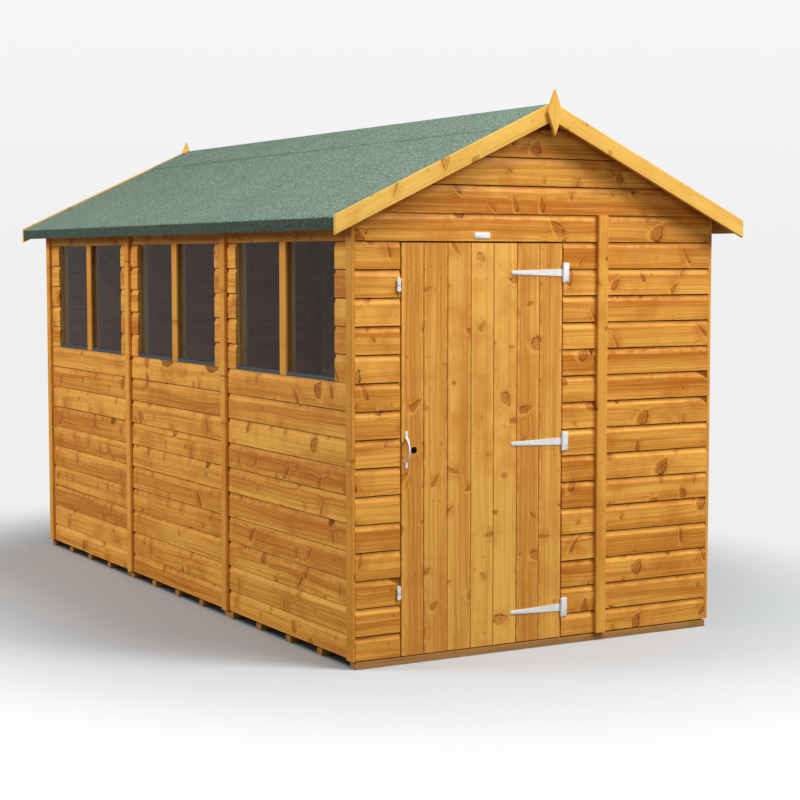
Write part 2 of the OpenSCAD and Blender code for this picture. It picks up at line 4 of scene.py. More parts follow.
import bmesh
import bpy
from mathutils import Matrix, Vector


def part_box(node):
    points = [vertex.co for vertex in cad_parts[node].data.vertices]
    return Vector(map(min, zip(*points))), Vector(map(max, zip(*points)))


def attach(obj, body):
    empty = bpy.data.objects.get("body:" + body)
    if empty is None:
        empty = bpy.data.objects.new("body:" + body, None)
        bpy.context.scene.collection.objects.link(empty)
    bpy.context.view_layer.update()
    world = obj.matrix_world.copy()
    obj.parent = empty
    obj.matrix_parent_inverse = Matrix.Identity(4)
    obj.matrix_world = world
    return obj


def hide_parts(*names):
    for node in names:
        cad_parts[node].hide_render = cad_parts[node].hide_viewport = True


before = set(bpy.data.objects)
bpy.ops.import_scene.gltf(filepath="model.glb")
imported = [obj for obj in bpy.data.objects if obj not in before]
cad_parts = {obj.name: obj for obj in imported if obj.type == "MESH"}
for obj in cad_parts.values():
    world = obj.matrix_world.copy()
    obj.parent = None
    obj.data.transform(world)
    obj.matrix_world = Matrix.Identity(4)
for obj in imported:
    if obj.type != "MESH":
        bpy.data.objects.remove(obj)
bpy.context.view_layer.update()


# ---- Bearers and floor ----
# Three sections of rough sawn bearers lie across the shed on the ground. Narrow floor boards run
# over them from front to back, nailed down, and the shiplap laps down over their ends.


def solids_of(node):
    """The lowest and highest corner of each separate timber in a frame node."""
    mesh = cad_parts[node].data
    spots = [tuple(round(c, 4) for c in v.co) for v in mesh.vertices]
    joined = {p: p for p in spots}

    def head(p):
        while joined[p] != p:
            p = joined[p]
        return p

    for face in mesh.polygons:
        first = head(spots[face.vertices[0]])
        for i in face.vertices[1:]:
            joined[head(spots[i])] = first
    found = {}
    for p in joined:
        found.setdefault(head(p), []).append(p)
    corners = [(tuple(map(min, zip(*group))), tuple(map(max, zip(*group)))) for group in found.values()]
    return sorted(corners)


def eased(outline, ease=0.0012, inset=0.005):
    """An outline with its corners planed off, and how much each point is an arris."""
    points, arris = [], []
    for i, (x, y) in enumerate(outline):
        for j in (i - 1, (i + 1) % len(outline)):
            to_x, to_y = outline[j][0] - x, outline[j][1] - y
            length = math.hypot(to_x, to_y)
            steps = [(min(inset, 0.4 * length), 0.0), (min(ease, 0.2 * length), 1.0)]
            for away, wear_and_painted_light in steps if j == i - 1 else steps[::-1]:
                points.append((x + to_x * away / length, y + to_y * away / length))
                arris.append(wear_and_painted_light)
    return points, arris


class Stack:
    """Boards gathered into one piece, each with its own run of grain, its tone, and edge values that mark worn arrises,
    a painted highlight and painted shade in the joints.
    """

    def __init__(self, seed):
        self.chance = random.Random(seed)
        self.verts, self.faces = [], []
        self.grain, self.tone, self.edge = [], [], []

    def lay(self, outline, arris, stations, place, tone=None, wander=0.0003, ends=1.0):
        """One board: an outline of (across, depth) points, drawn along the stations."""
        chance = self.chance
        shift = [chance.uniform(0, 30) for _ in range(3)]
        tone = chance.random() if tone is None else tone
        if min(arris) < 0:
            stations = [stations[0], stations[0] + 0.0004, *stations[1:-1], stations[-1] - 0.0004, stations[-1]]
        turns = [(chance.uniform(2, 6), chance.uniform(0, 6.3)) for _ in range(2)]
        first, count = len(self.verts), len(outline)
        for k, s in enumerate(stations):
            last = k in (0, len(stations) - 1)
            sway = [wander * math.sin(rate * s + start) for rate, start in turns]
            for (a, d), wear_and_painted_light in zip(outline, arris):
                self.verts.append(place(s, a + sway[0], d + sway[1]))
                self.grain.append((s + shift[0], a + shift[1], d + shift[2]))
                self.tone.append(tone)
                self.edge.append(max(wear_and_painted_light, 0.0) * ends if last else wear_and_painted_light)
        for i in range(len(stations) - 1):
            for k in range(count):
                here, after = first + i * count + k, first + i * count + (k + 1) % count
                self.faces.append((here, after, after + count, here + count))
        top = first + (len(stations) - 1) * count
        self.faces.append(tuple(range(first + count - 1, first - 1, -1)))
        self.faces.append(tuple(range(top, top + count)))

    def timber(self, low, high, ease=0.0012, tone=None):
        """A straight timber between two corners, its grain along its longest side."""
        size = [b - a for a, b in zip(low, high)]
        run = size.index(max(size))
        across, depth = [i for i in range(3) if i != run]
        outline, arris = eased(
            [
                (low[across], low[depth]),
                (high[across], low[depth]),
                (high[across], high[depth]),
                (low[across], high[depth]),
            ],
            ease,
        )

        def place(s, a, d):
            spot = [0.0, 0.0, 0.0]
            spot[run], spot[across], spot[depth] = s, a, d
            return tuple(spot)

        self.lay(outline, arris, stretch(low[run], high[run]), place, tone)

    def piece(self, name, material, slot, body, *nodes, rough=32):
        """Turns the stack into one piece that stands for its frame nodes."""
        mesh = bpy.data.meshes.new(name)
        mesh.from_pydata(self.verts, [], self.faces)
        for label, kind, field, values in (
            ("grain", "FLOAT_VECTOR", "vector", [c for spot in self.grain for c in spot]),
            ("tone", "FLOAT", "value", self.tone),
            ("edge", "FLOAT", "value", self.edge),
        ):
            mesh.attributes.new(label, kind, "POINT").data.foreach_set(field, values)
        return fit(name, mesh, material, slot, body, *nodes, rough=rough)


def stretch(start, stop, step=0.3):
    """Stations along a board, with one close to each end for the rubbed end edge."""
    inner = [start + 0.004, stop - 0.004]
    count = max(1, round((stop - start) / step))
    inner += [start + (stop - start) * i / count for i in range(1, count)]
    return [start, *sorted(inner), stop]


def fit(name, mesh, material, slot, body, *nodes, rough=32):
    """Puts a finished mesh on its body, with sharp edges where it turns by more than rough degrees."""
    work = bmesh.new()
    work.from_mesh(mesh)
    bmesh.ops.recalc_face_normals(work, faces=work.faces)
    work.to_mesh(mesh)
    work.free()
    for face in mesh.polygons:
        face.use_smooth = True
    mesh.set_sharp_from_angle(angle=math.radians(rough))
    mesh.materials.append(material)
    made = bpy.data.objects.new(name, mesh)
    bpy.context.scene.collection.objects.link(made)
    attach(made, body)
    if nodes:
        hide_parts(*nodes)
    return made


def stain(red, green, blue):
    """A mixed colour, given as on a shade card from 0 to 255."""
    parts = [c / 255 for c in (red, green, blue)]
    return (*(c / 12.92 if c < 0.04045 else ((c + 0.055) / 1.055) ** 2.4 for c in parts), 1.0)


def put(tree, kind, inputs=None, **settings):
    """One shader node, its inputs given by name or number as a value or as another node's socket."""
    made = tree.nodes.new("ShaderNode" + kind)
    for name, value in settings.items():
        setattr(made, name, value)
    for key, value in (inputs or {}).items():
        if isinstance(value, bpy.types.NodeSocket):
            tree.links.new(value, made.inputs[key])
        else:
            made.inputs[key].default_value = value
    return made


def reckon(tree, operation, *values, clamp=False):
    made = put(tree, "Math", dict(enumerate(values)), operation=operation, use_clamp=clamp)
    return made.outputs[0]


def fade(tree, value, start, stop, low=0.0, high=1.0):
    """A soft step from low to high as value goes from start to stop."""
    inputs = {"Value": value, "From Min": start, "From Max": stop, "To Min": low, "To Max": high}
    return put(tree, "MapRange", inputs, interpolation_type="SMOOTHSTEP").outputs[0]


def tint(tree, share, first, second, way="MIX"):
    made = put(tree, "Mix", {0: share, 6: first, 7: second}, data_type="RGBA", blend_type=way)
    return made.outputs[2]


def spot(tree, x, y, z=0.0):
    return put(tree, "CombineXYZ", {0: x, 1: y, 2: z}).outputs[0]


def cloud(tree, vector, scale=1.0, detail=2.0, rough=0.5):
    inputs = {"Vector": vector, "Scale": scale, "Detail": detail, "Roughness": rough}
    return put(tree, "TexNoise", inputs).outputs[0]


def effect(name, takes, gives):
    """A shader node group with named inputs and outputs."""
    tree = bpy.data.node_groups.new(name, "ShaderNodeTree")
    for label, value in takes.items():
        kind = "NodeSocketFloat"
        if isinstance(value, tuple):
            kind = "NodeSocketColor" if len(value) == 4 else "NodeSocketVector"
        made = tree.interface.new_socket(label, in_out="INPUT", socket_type=kind)
        made.default_value = value
    for label, kind in gives.items():
        tree.interface.new_socket(label, in_out="OUTPUT", socket_type="NodeSocket" + kind)
    return tree, tree.nodes.new("NodeGroupInput").outputs, tree.nodes.new("NodeGroupOutput").inputs


def give(tree, outlets, **values):
    for label, value in values.items():
        tree.links.new(value, outlets[label])


knots, taken, given = effect(
    "Knots",
    {"Grain": (0, 0, 0), "Length": 0.2, "Width": 0.12, "Size": 0.02, "Share": 0.6, "Slant": 2.0, "Slimness": 2.5},
    {"Core": "Float", "Rim": "Float", "Glow": "Float", "Halo": "Float", "Bend": "Float"},
)
parts = put(knots, "SeparateXYZ", {0: taken["Grain"]}).outputs
cell = spot(knots, reckon(knots, "DIVIDE", parts[0], taken["Length"]), reckon(knots, "DIVIDE", parts[1], taken["Width"]))
seeds = put(knots, "TexVoronoi", {"Vector": cell, "Scale": 1.0, "Randomness": 0.9}, voronoi_dimensions="2D")
lot = put(knots, "TexWhiteNoise", {"Vector": seeds.outputs["Position"]}, noise_dimensions="3D")
draw = put(knots, "SeparateColor", {0: lot.outputs["Color"]}).outputs
other = put(knots, "SeparateColor", {0: seeds.outputs["Color"]}).outputs
away = put(knots, "VectorMath", {0: cell, 1: seeds.outputs["Position"]}, operation="SUBTRACT").outputs[0]
away = put(knots, "SeparateXYZ", {0: away}).outputs
along = reckon(knots, "MULTIPLY", away[0], taken["Length"])
across = reckon(knots, "MULTIPLY", away[1], taken["Width"])
angle = reckon(knots, "MULTIPLY", reckon(knots, "SUBTRACT", draw[0], 0.5), taken["Slant"])
turned = put(
    knots, "VectorRotate", {"Vector": spot(knots, along, across), "Angle": angle}, rotation_type="Z_AXIS"
).outputs[0]
turned = put(knots, "SeparateXYZ", {0: turned}).outputs
half_long = reckon(knots, "MULTIPLY", taken["Size"], reckon(knots, "ADD", 0.35, reckon(knots, "POWER", draw[1], 1.6)))
slim = reckon(knots, "ADD", 1.1, reckon(knots, "MULTIPLY", other[0], taken["Slimness"]))
half_wide = reckon(knots, "DIVIDE", half_long, slim)
far_long = reckon(knots, "DIVIDE", turned[1], half_long)
taper = reckon(knots, "SUBTRACT", 1.0, reckon(knots, "MULTIPLY", far_long, 0.4))
taper = reckon(knots, "MAXIMUM", taper, 0.4)
far_wide = reckon(knots, "DIVIDE", turned[0], reckon(knots, "MULTIPLY", half_wide, taper))
far = put(knots, "VectorMath", {0: spot(knots, far_long, far_wide)}, operation="LENGTH").outputs["Value"]
ragged = cloud(knots, taken["Grain"], 70.0, 4.0, 0.65)
far = reckon(knots, "ADD", far, reckon(knots, "MULTIPLY", reckon(knots, "SUBTRACT", ragged, 0.5), 1.5))
shown = reckon(knots, "LESS_THAN", draw[2], taken["Share"])
depth = reckon(knots, "MULTIPLY", shown, reckon(knots, "ADD", 0.22, reckon(knots, "MULTIPLY", other[1], 0.5)))
core = reckon(knots, "MULTIPLY", fade(knots, far, 1.15, 0.55), depth)
# One side of each knot is picked for painted light: the dark rim is painted full there and faint on the other side,
# where a pale ring is painted as a highlight, as if light fell across a sunken knot.
one_side_for_painted_light = fade(knots, far_wide, -0.7, 0.7)
ring = reckon(knots, "MULTIPLY", fade(knots, far, 0.65, 0.92), fade(knots, far, 1.2, 0.95))
rim = reckon(knots, "MULTIPLY", reckon(knots, "MULTIPLY", ring, shown), reckon(knots, "ADD", 0.25, reckon(knots, "MULTIPLY", one_side_for_painted_light, 0.75)))
eye = reckon(knots, "MULTIPLY", fade(knots, far, 0.5, 0.05), reckon(knots, "MULTIPLY", depth, 0.8))
rim = reckon(knots, "MAXIMUM", rim, eye)
painted_glow = reckon(knots, "MULTIPLY", fade(knots, far, 1.05, 1.35), fade(knots, far, 1.9, 1.35))
painted_glow = reckon(knots, "MULTIPLY", reckon(knots, "MULTIPLY", painted_glow, shown), reckon(knots, "SUBTRACT", 1.0, one_side_for_painted_light))
spread = put(knots, "VectorMath", {0: spot(knots, along, across)}, operation="LENGTH").outputs["Value"]
halo = reckon(knots, "MULTIPLY", fade(knots, reckon(knots, "DIVIDE", spread, half_long), 1.9, 0.4), shown)
bend = reckon(knots, "MULTIPLY", reckon(knots, "MULTIPLY", halo, across), 0.45)
give(knots, given, Core=core, Rim=rim, Glow=painted_glow, Halo=halo, Bend=bend)

growth, taken, given = effect(
    "Growth lines",
    {"Grain": (0, 0, 0), "Bend": 0.0, "Lines": 110.0},
    {"Streak": "Float", "Lines": "Float", "Heart": "Float", "Fibre": "Float"},
)
parts = put(growth, "SeparateXYZ", {0: taken["Grain"]}).outputs
drift = cloud(growth, spot(growth, reckon(growth, "MULTIPLY", parts[0], 1.6), reckon(growth, "MULTIPLY", parts[1], 5.0)))
drift = reckon(growth, "MULTIPLY", reckon(growth, "SUBTRACT", drift, 0.5), 0.035)
level = reckon(growth, "ADD", reckon(growth, "ADD", parts[1], drift), taken["Bend"])
deep = reckon(growth, "MULTIPLY", parts[2], 60.0)
streak = cloud(growth, spot(growth, reckon(growth, "MULTIPLY", parts[0], 1.5), reckon(growth, "MULTIPLY", level, 95.0), deep), 1.0, 4.0, 0.6)
phase = reckon(growth, "MULTIPLY", level, reckon(growth, "MULTIPLY", taken["Lines"], 6.283))
warp = cloud(growth, spot(growth, reckon(growth, "MULTIPLY", parts[0], 0.9), reckon(growth, "MULTIPLY", level, 14.0), parts[2]), 1.0, 1.0)
phase = reckon(growth, "ADD", phase, reckon(growth, "MULTIPLY", warp, 26.0))
lines = fade(growth, reckon(growth, "SINE", phase), -0.2, 1.0)
broad = spot(growth, reckon(growth, "MULTIPLY", parts[0], 0.35), reckon(growth, "MULTIPLY", level, 13.0), reckon(growth, "MULTIPLY", parts[2], 9.0))
heart = fade(growth, cloud(growth, broad, 1.0, 1.0), 0.4, 0.62)
fibre = cloud(growth, spot(growth, reckon(growth, "MULTIPLY", parts[0], 45.0), reckon(growth, "MULTIPLY", level, 1100.0), reckon(growth, "MULTIPLY", parts[2], 700.0)), 1.0, 1.0)
give(growth, given, Streak=streak, Lines=lines, Heart=heart, Fibre=fibre)

dipped, taken, given = effect(
    "Dipped softwood",
    {
        "Pale": (0.8, 0.6, 0.3, 1),
        "Deep": (0.6, 0.3, 0.1, 1),
        "Knot": (0.3, 0.1, 0.03, 1),
        "Joint": (0.1, 0.04, 0.01, 1),
        "Knot share": 0.6,
        "Knot size": 0.026,
        "Slant": 2.0,
        "Slimness": 2.5,
        "Figure": 1.0,
        "Wear": 0.4,
        "Roughness": 0.55,
        "Saw marks": 0.0,
    },
    {"Color": "Color", "Roughness": "Float", "Height": "Float"},
)
run = put(dipped, "Attribute", attribute_name="grain").outputs["Vector"]
tone = put(dipped, "Attribute", attribute_name="tone").outputs["Fac"]
edge = put(dipped, "Attribute", attribute_name="edge").outputs["Fac"]
spikes = put(dipped, "Group", node_tree=knots)
small = put(dipped, "Group", node_tree=knots)
for group, values in (
    (spikes, {"Length": 0.15, "Width": 0.11}),
    (small, {"Length": 0.08, "Width": 0.055, "Size": 0.006, "Share": 0.2, "Slimness": 0.7}),
):
    dipped.links.new(run, group.inputs["Grain"])
    for label, value in values.items():
        group.inputs[label].default_value = value
for label, source in (("Share", "Knot share"), ("Size", "Knot size"), ("Slant", "Slant"), ("Slimness", "Slimness")):
    dipped.links.new(taken[source], spikes.inputs[label])
bends = reckon(dipped, "ADD", spikes.outputs["Bend"], small.outputs["Bend"])
figure = put(dipped, "Group", {"Grain": run, "Bend": bends}, node_tree=growth).outputs
mixed = reckon(dipped, "MULTIPLY", reckon(dipped, "SUBTRACT", figure["Streak"], 0.5), 1.7)
mixed = reckon(dipped, "ADD", mixed, reckon(dipped, "MULTIPLY", figure["Heart"], 0.36))
mixed = reckon(dipped, "ADD", mixed, reckon(dipped, "MULTIPLY", figure["Lines"], 0.12))
mixed = reckon(dipped, "MULTIPLY", mixed, taken["Figure"])
mixed = reckon(dipped, "ADD", mixed, reckon(dipped, "MULTIPLY", tone, 0.36), clamp=True)
shade = tint(dipped, mixed, taken["Pale"], taken["Deep"])
soak = fade(dipped, cloud(dipped, run, 4.5, 3.0, 0.6), 0.44, 0.72, 0.0, 0.55)
shade = tint(dipped, soak, shade, taken["Deep"])
patchy = fade(dipped, cloud(dipped, run, 22.0, 3.0), 0.35, 0.65)
# Paler where the edge values are positive: worn arrises, and a painted highlight along each shiplap hollow.
wear_and_painted_light = reckon(dipped, "MULTIPLY", reckon(dipped, "MULTIPLY", edge, patchy, clamp=True), taken["Wear"])
shade = tint(dipped, wear_and_painted_light, shade, taken["Pale"])
shade = tint(dipped, reckon(dipped, "MULTIPLY", spikes.outputs["Halo"], 0.45), shade, taken["Deep"])
# A pale ring beside each knot on one side: a painted highlight.
shade = tint(dipped, reckon(dipped, "MULTIPLY", spikes.outputs["Glow"], 0.6), shade, taken["Pale"])
hearts = reckon(dipped, "MAXIMUM", spikes.outputs["Core"], reckon(dipped, "MULTIPLY", small.outputs["Core"], 0.85))
rims = reckon(dipped, "MAXIMUM", spikes.outputs["Rim"], reckon(dipped, "MULTIPLY", small.outputs["Rim"], 0.5))
speckle = fade(dipped, cloud(dipped, run, 160.0, 1.0), 0.3, 0.7, 0.6, 1.0)
shade = tint(dipped, reckon(dipped, "MULTIPLY", hearts, speckle), shade, taken["Knot"])
shade = tint(dipped, reckon(dipped, "MULTIPLY", rims, speckle), shade, taken["Joint"])
# Towards the joint colour where the edge values are negative: painted shade in the joints, vees and under the lips, and
# the colour of chipped faces.
painted_joint_shade_and_chip_colour = reckon(dipped, "MULTIPLY", edge, -0.97, clamp=True)
shade = tint(dipped, painted_joint_shade_and_chip_colour, shade, taken["Joint"])
gloss = reckon(dipped, "ADD", taken["Roughness"], reckon(dipped, "MULTIPLY", reckon(dipped, "SUBTRACT", figure["Streak"], 0.5), 0.3))
gloss = reckon(dipped, "SUBTRACT", gloss, reckon(dipped, "MULTIPLY", hearts, 0.12))
kerf = put(dipped, "TexWave", {"Vector": run, "Scale": 55.0, "Distortion": 3.0, "Detail": 1.0}, bands_direction="X").outputs["Fac"]
height = reckon(dipped, "ADD", reckon(dipped, "MULTIPLY", figure["Streak"], 0.5), reckon(dipped, "MULTIPLY", figure["Fibre"], 0.35))
height = reckon(dipped, "ADD", height, reckon(dipped, "MULTIPLY", rims, -0.5))
height = reckon(dipped, "ADD", height, reckon(dipped, "MULTIPLY", kerf, taken["Saw marks"]))
give(dipped, given, Color=shade, Roughness=gloss, Height=height)


def dipped_timber(name, **values):
    """Softwood dipped in golden brown preservative, planed or sawn."""
    made = bpy.data.materials.new(name)
    made.use_nodes = True
    tree = made.node_tree
    wood = put(tree, "Group", {label.replace("_", " "): value for label, value in values.items()}, node_tree=dipped)
    bump = put(tree, "Bump", {"Height": wood.outputs["Height"], "Strength": 0.5, "Distance": 0.0007})
    surface = tree.nodes["Principled BSDF"].inputs
    tree.links.new(wood.outputs["Color"], surface["Base Color"])
    tree.links.new(wood.outputs["Roughness"], surface["Roughness"])
    tree.links.new(bump.outputs["Normal"], surface["Normal"])
    surface["Specular IOR Level"].default_value = 0.18
    return made


sawn = dipped_timber(
    "sawn_framing",
    Pale=stain(240, 196, 122),
    Deep=stain(206, 144, 70),
    Knot=stain(140, 72, 26),
    Joint=stain(82, 42, 16),
    Knot_share=0.4,
    Knot_size=0.016,
    Roughness=0.72,
    Saw_marks=0.45,
    Wear=0.25,
)
bearers = Stack(11)
for low, high in solids_of("floor_bearers"):
    bearers.timber(low, high, 0.0015)
# A darker copy of the sawn timber for the bearers: painted shade for the dark space under the floor.
painted_shade_bearer_timber = dipped_timber(
    "sawn_bearers",
    Pale=stain(190, 138, 78),
    Deep=stain(142, 92, 44),
    Knot=stain(110, 56, 22),
    Joint=stain(70, 36, 14),
    Knot_share=0.4,
    Knot_size=0.016,
    Roughness=0.8,
    Saw_marks=0.5,
    Wear=0.2,
)
bearers.piece("bearers", painted_shade_bearer_timber, "framing", "shed", "floor_bearers")

floor_boards = Stack(12)
for low, high in solids_of("floor_boards"):
    count = round((high[0] - low[0]) / 0.12)
    width = (high[0] - low[0]) / count
    for i in range(count):
        floor_boards.timber(
            (low[0] + i * width + 0.0004, low[1], low[2]), (low[0] + (i + 1) * width - 0.0004, high[1], high[2]), 0.0008
        )
floor_boards.piece("floor", sawn, "framing", "shed", "floor_boards")


# ---- Wall framing ----
# Upright studs and level rails of planed softwood behind the boards, butted and nailed up from
# behind. They show through the doorway and through the panes.

for name, seed, nodes in (
    ("left_frame", 21, ("left_wall_studs", "left_wall_rails")),
    ("right_frame", 22, ("right_wall_studs", "right_wall_rails")),
    ("back_frame", 23, ("back_wall_studs", "back_wall_rails")),
    ("front_frame", 24, ("front_wall_studs", "front_wall_rails")),
    ("gable_rails", 25, ("gable_bottom_rails",)),
):
    framing = Stack(seed)
    for node in nodes:
        for low, high in solids_of(node):
            framing.timber(low, high)
    framing.piece(name, sawn, "framing", "shed", *nodes)


# ---- Shiplap walls ----
# Tongued shiplap boards with a hollow along the top edge, each course lapping over the one below
# and leaving a thin dark joint, darkened further with painted shade, while the hollow carries a
# painted highlight. Nailed to the studs, then dipped; a few have lost a corner.

COURSE = 0.1103
LIP = 0.0062
SLOT = 0.0036
CHIP = 0.032


def shiplap_outline(cover, top=False, foot=0.0):
    """One board from foot to tongue: the face, the hollow along its top, the joint and the back."""
    hollow, slot = cover - 0.0245, cover - SLOT
    line = [(foot, 0.0014, 0.3), (foot + 0.0012, 0.0, 1.0), (foot + 0.006, 0.0, 0.0), (0.021, 0.0, 0.0)]
    # Edge values: 1 marks a worn arris. Across the hollow they paint a pale band, a painted highlight where the hollow
    # faces up; the negative values paint shade in the joint slot and under the lip.
    line += [(0.055, 0.0, 0.0), (hollow - 0.004, 0.0, 0.1), (hollow, 0.0001, 1.0)]
    for i in range(1, 7):
        turn = i / 6
        line.append((hollow + (slot - hollow) * turn, LIP * math.sin(turn * math.pi / 2), 0.75 - 0.95 * turn**6))
    if top:
        line += [(cover - 0.0004, LIP, -0.2), (cover - 0.0002, 0.012, 0.0)]
    else:
        line += [(slot + 0.0002, 0.0088, -1.0), (cover + 0.006, 0.0088, -1.0), (cover + 0.006, 0.012, 0.0)]
    line += [(foot, 0.012, 0.0)] if foot or cover < 0.1 else [(0.0072, 0.012, 0.0), (0.0072, 0.0086, -1.0), (0.0, 0.0086, -1.0)]
    return [(h, d) for h, d, _ in line], [e for _, _, e in line]


def course_levels(low, high):
    """The foot and cover of each course, whole ones counted down from the top."""
    feet = []
    foot = high
    while foot - low > 0.02:
        below = max(low, foot - COURSE)
        feet.append((below, foot - below))
        foot = below
    return feet[::-1]


class Wall:
    """One outside face: which way it looks, and where a point along it and into it lies."""

    def __init__(self, axis, face, inward):
        self.axis, self.face, self.inward = axis, face, inward

    def at(self, s, z, d):
        if self.axis == 1:
            return (self.face + self.inward * d, s, z)
        return (s, self.face + self.inward * d, z)


def clad(stack, wall, start, stop, low, high, top_course=True, chips=()):
    """Courses of shiplap from start to stop, with chips as (foot, from, to) at their tops."""
    levels = course_levels(low, high)
    for i, (foot, cover) in enumerate(levels):
        outline, arris = shiplap_outline(cover, top=top_course and i == len(levels) - 1)
        wane = [(a, b) for z, a, b in chips if abs(z - foot) < 0.03]
        stations = stretch(start, stop, 0.25)
        for a, b in wane:
            stations += [a + (b - a) * k / 8 for k in range(9)]
        stations = sorted(s for s in set(stations) if start <= s <= stop)
        first = len(stack.verts)

        hollow = cover - 0.0245

        def bite(s, wane=wane):
            """How much of the corner is missing at s, from 0 to 1, and 1 at an end it runs out of."""
            gone = [0.0]
            for a, b in wane:
                if a <= s <= b and b >= stop:
                    gone.append((s - a) / (b - a))
                elif a <= s <= b:
                    gone.append(1 - (2 * (s - a) / (b - a) - 1) ** 2)
            return max(gone)

        def place(s, a, d, foot=foot):
            return wall.at(s, foot + a, d)

        stack.lay(outline, arris, stations, place, ends=0.0)
        slot = cover - SLOT
        for k in range(first, len(stack.verts)):
            gone = bite(stack.verts[k][wall.axis])
            step = (k - first) % len(outline) - 6
            if gone <= 0.02 or not -1 <= step <= 6:
                continue
            torn = slot - CHIP * gone
            if step < 4:
                height = min(torn, hollow + (torn - hollow) * step / 3) if step > 0 else min(torn, hollow) + 0.004 * step
                depth = LIP * math.sin(max(0.0, (height - hollow) / (slot - hollow)) * math.pi / 2)
            else:
                height = torn + 0.0008 + (slot - torn - 0.0008) * (step - 4) / 2
                depth = LIP * (1.0 + 0.1 * min(1.0, 3 * gone))
                stack.edge[k] = -0.65
            stack.verts[k] = wall.at(stack.verts[k][wall.axis], foot + height, depth)


shiplap = dipped_timber(
    "dipped_shiplap",
    Pale=stain(252, 184, 80),
    Deep=stain(194, 110, 28),
    Knot=stain(184, 82, 20),
    Joint=stain(84, 30, 6),
    Knot_share=0.62,
    Knot_size=0.031,
    Slant=1.7,
    Slimness=4.6,
    Figure=1.2,
    Roughness=0.5,
    Wear=0.5,
)
below = solids_of("left_boards_below_windows")
beside = solids_of("left_boards_beside_windows")
over = solids_of("left_boards_over_windows")
left_face = Wall(1, below[0][0][0], 1)
left_wall = Stack(31)
wanes = {
    0: [(0.46, -1.62, -1.56)],
    1: [(1.01, -0.5, -0.34), (1.01, 0.02, 0.2), (0.57, -0.4, -0.34)],
    2: [(0.68, 0.8, 0.88)],
}
for i, (low, high) in enumerate(below):
    clad(left_wall, left_face, low[1], high[1], low[2], high[2], True, wanes[i])
for low, high in beside:
    clad(left_wall, left_face, low[1], high[1], low[2], high[2], False)
for low, high in over:
    clad(left_wall, left_face, low[1], high[1], low[2], high[2])
left_wall.piece(
    "left_shiplap",
    shiplap,
    "shiplap",
    "shed",
    "left_boards_below_windows",
    "left_boards_beside_windows",
    "left_boards_over_windows",
)

right_boards = solids_of("right_wall_boards")
right_face = Wall(1, right_boards[0][1][0], -1)
right_wall = Stack(32)
for low, high in right_boards:
    chips = [(right_wall.chance.choice([0.35, 0.68, 1.12, 1.45]), low[1] + 0.2, low[1] + 0.32)]
    clad(right_wall, right_face, low[1], high[1], low[2], high[2], True, chips)
right_wall.piece("right_shiplap", shiplap, "shiplap", "shed", "right_wall_boards")

back_boards = solids_of("back_wall_boards")
back_face = Wall(0, back_boards[0][1][1], -1)
back_wall = Stack(33)
for low, high in back_boards:
    clad(back_wall, back_face, low[0], high[0], low[2], high[2], True, [(0.79, low[0] + 0.15, low[0] + 0.3)])
back_wall.piece("back_shiplap", shiplap, "shiplap", "shed", "back_wall_boards")

front_boards = solids_of("boards_beside_door")
front_face = Wall(0, front_boards[0][0][1], 1)
front_wall = Stack(34)
closing, hinging = front_boards
clad(front_wall, front_face, closing[0][0], closing[1][0], closing[0][2], closing[1][2], False, [(0.24, closing[1][0] - 0.052, closing[1][0])])
clad(front_wall, front_face, hinging[0][0], hinging[1][0], hinging[0][2], hinging[1][2], False, [(1.12, 0.24, 0.262)])
for low, high in solids_of("boards_over_door"):
    clad(front_wall, front_face, low[0], high[0], low[2], high[2])
for low, high in solids_of("front_narrow_panel_boards"):
    corner = high[0]
    chips = [(1.01, corner - 0.06, corner), (0.9, corner - 0.045, corner)]
    clad(front_wall, front_face, low[0], corner, low[2], high[2], True, chips)
front_wall.piece(
    "front_shiplap", shiplap, "shiplap", "shed", "boards_beside_door", "boards_over_door", "front_narrow_panel_boards"
)


# ---- Gable boards ----
# Three wider courses close each gable over the wall plates. Their ends are sawn to the slope of
# the roof, and the top board is cut off level, which leaves an open gap under the ridge.

PITCH = math.radians(25)
SLOPE, PLUMB = math.tan(PITCH), 1 / math.cos(PITCH)

felt_low, felt_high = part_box("left_roof_felt")
boards_low, boards_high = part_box("left_roof_boards")
felt_top = felt_high[2]
under_boards = boards_high[2] - 0.012 * PLUMB
half_width = -left_face.face

for name, seed, node, face, inward in (
    ("front_gable", 41, "front_gable_boards", front_face.face, 1),
    ("back_gable", 42, "back_gable_boards", back_face.face, -1),
):
    low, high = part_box(node)
    gable = Stack(seed)
    cover = (high[2] - low[2]) / 3
    for i in range(3):
        outline, arris = shiplap_outline(cover, top=i == 2)
        foot = low[2] + i * cover

        def cut(s, a, d, foot=foot):
            z = foot + a
            reach = min(half_width, (under_boards - 0.0004 - z) / SLOPE)
            return (reach * s, face + inward * d, z)

        stations = [-1 + 2 * k / 8 for k in range(9)]
        first = len(gable.verts)
        gable.lay(outline, arris, stations, cut, ends=0.0, wander=0.0)
        shift = gable.chance.uniform(0, 30)
        for k in range(first, len(gable.verts)):
            _, across, depth = gable.grain[k]
            gable.grain[k] = (gable.verts[k][0] + shift, across, depth)
    gable.piece(name, shiplap, "shiplap", "shed", node)


# ---- Cover strips ----
# Planed strips, their arrises taken off, nailed upright over the panel joints and the corners.
# They are cut from the same timber.

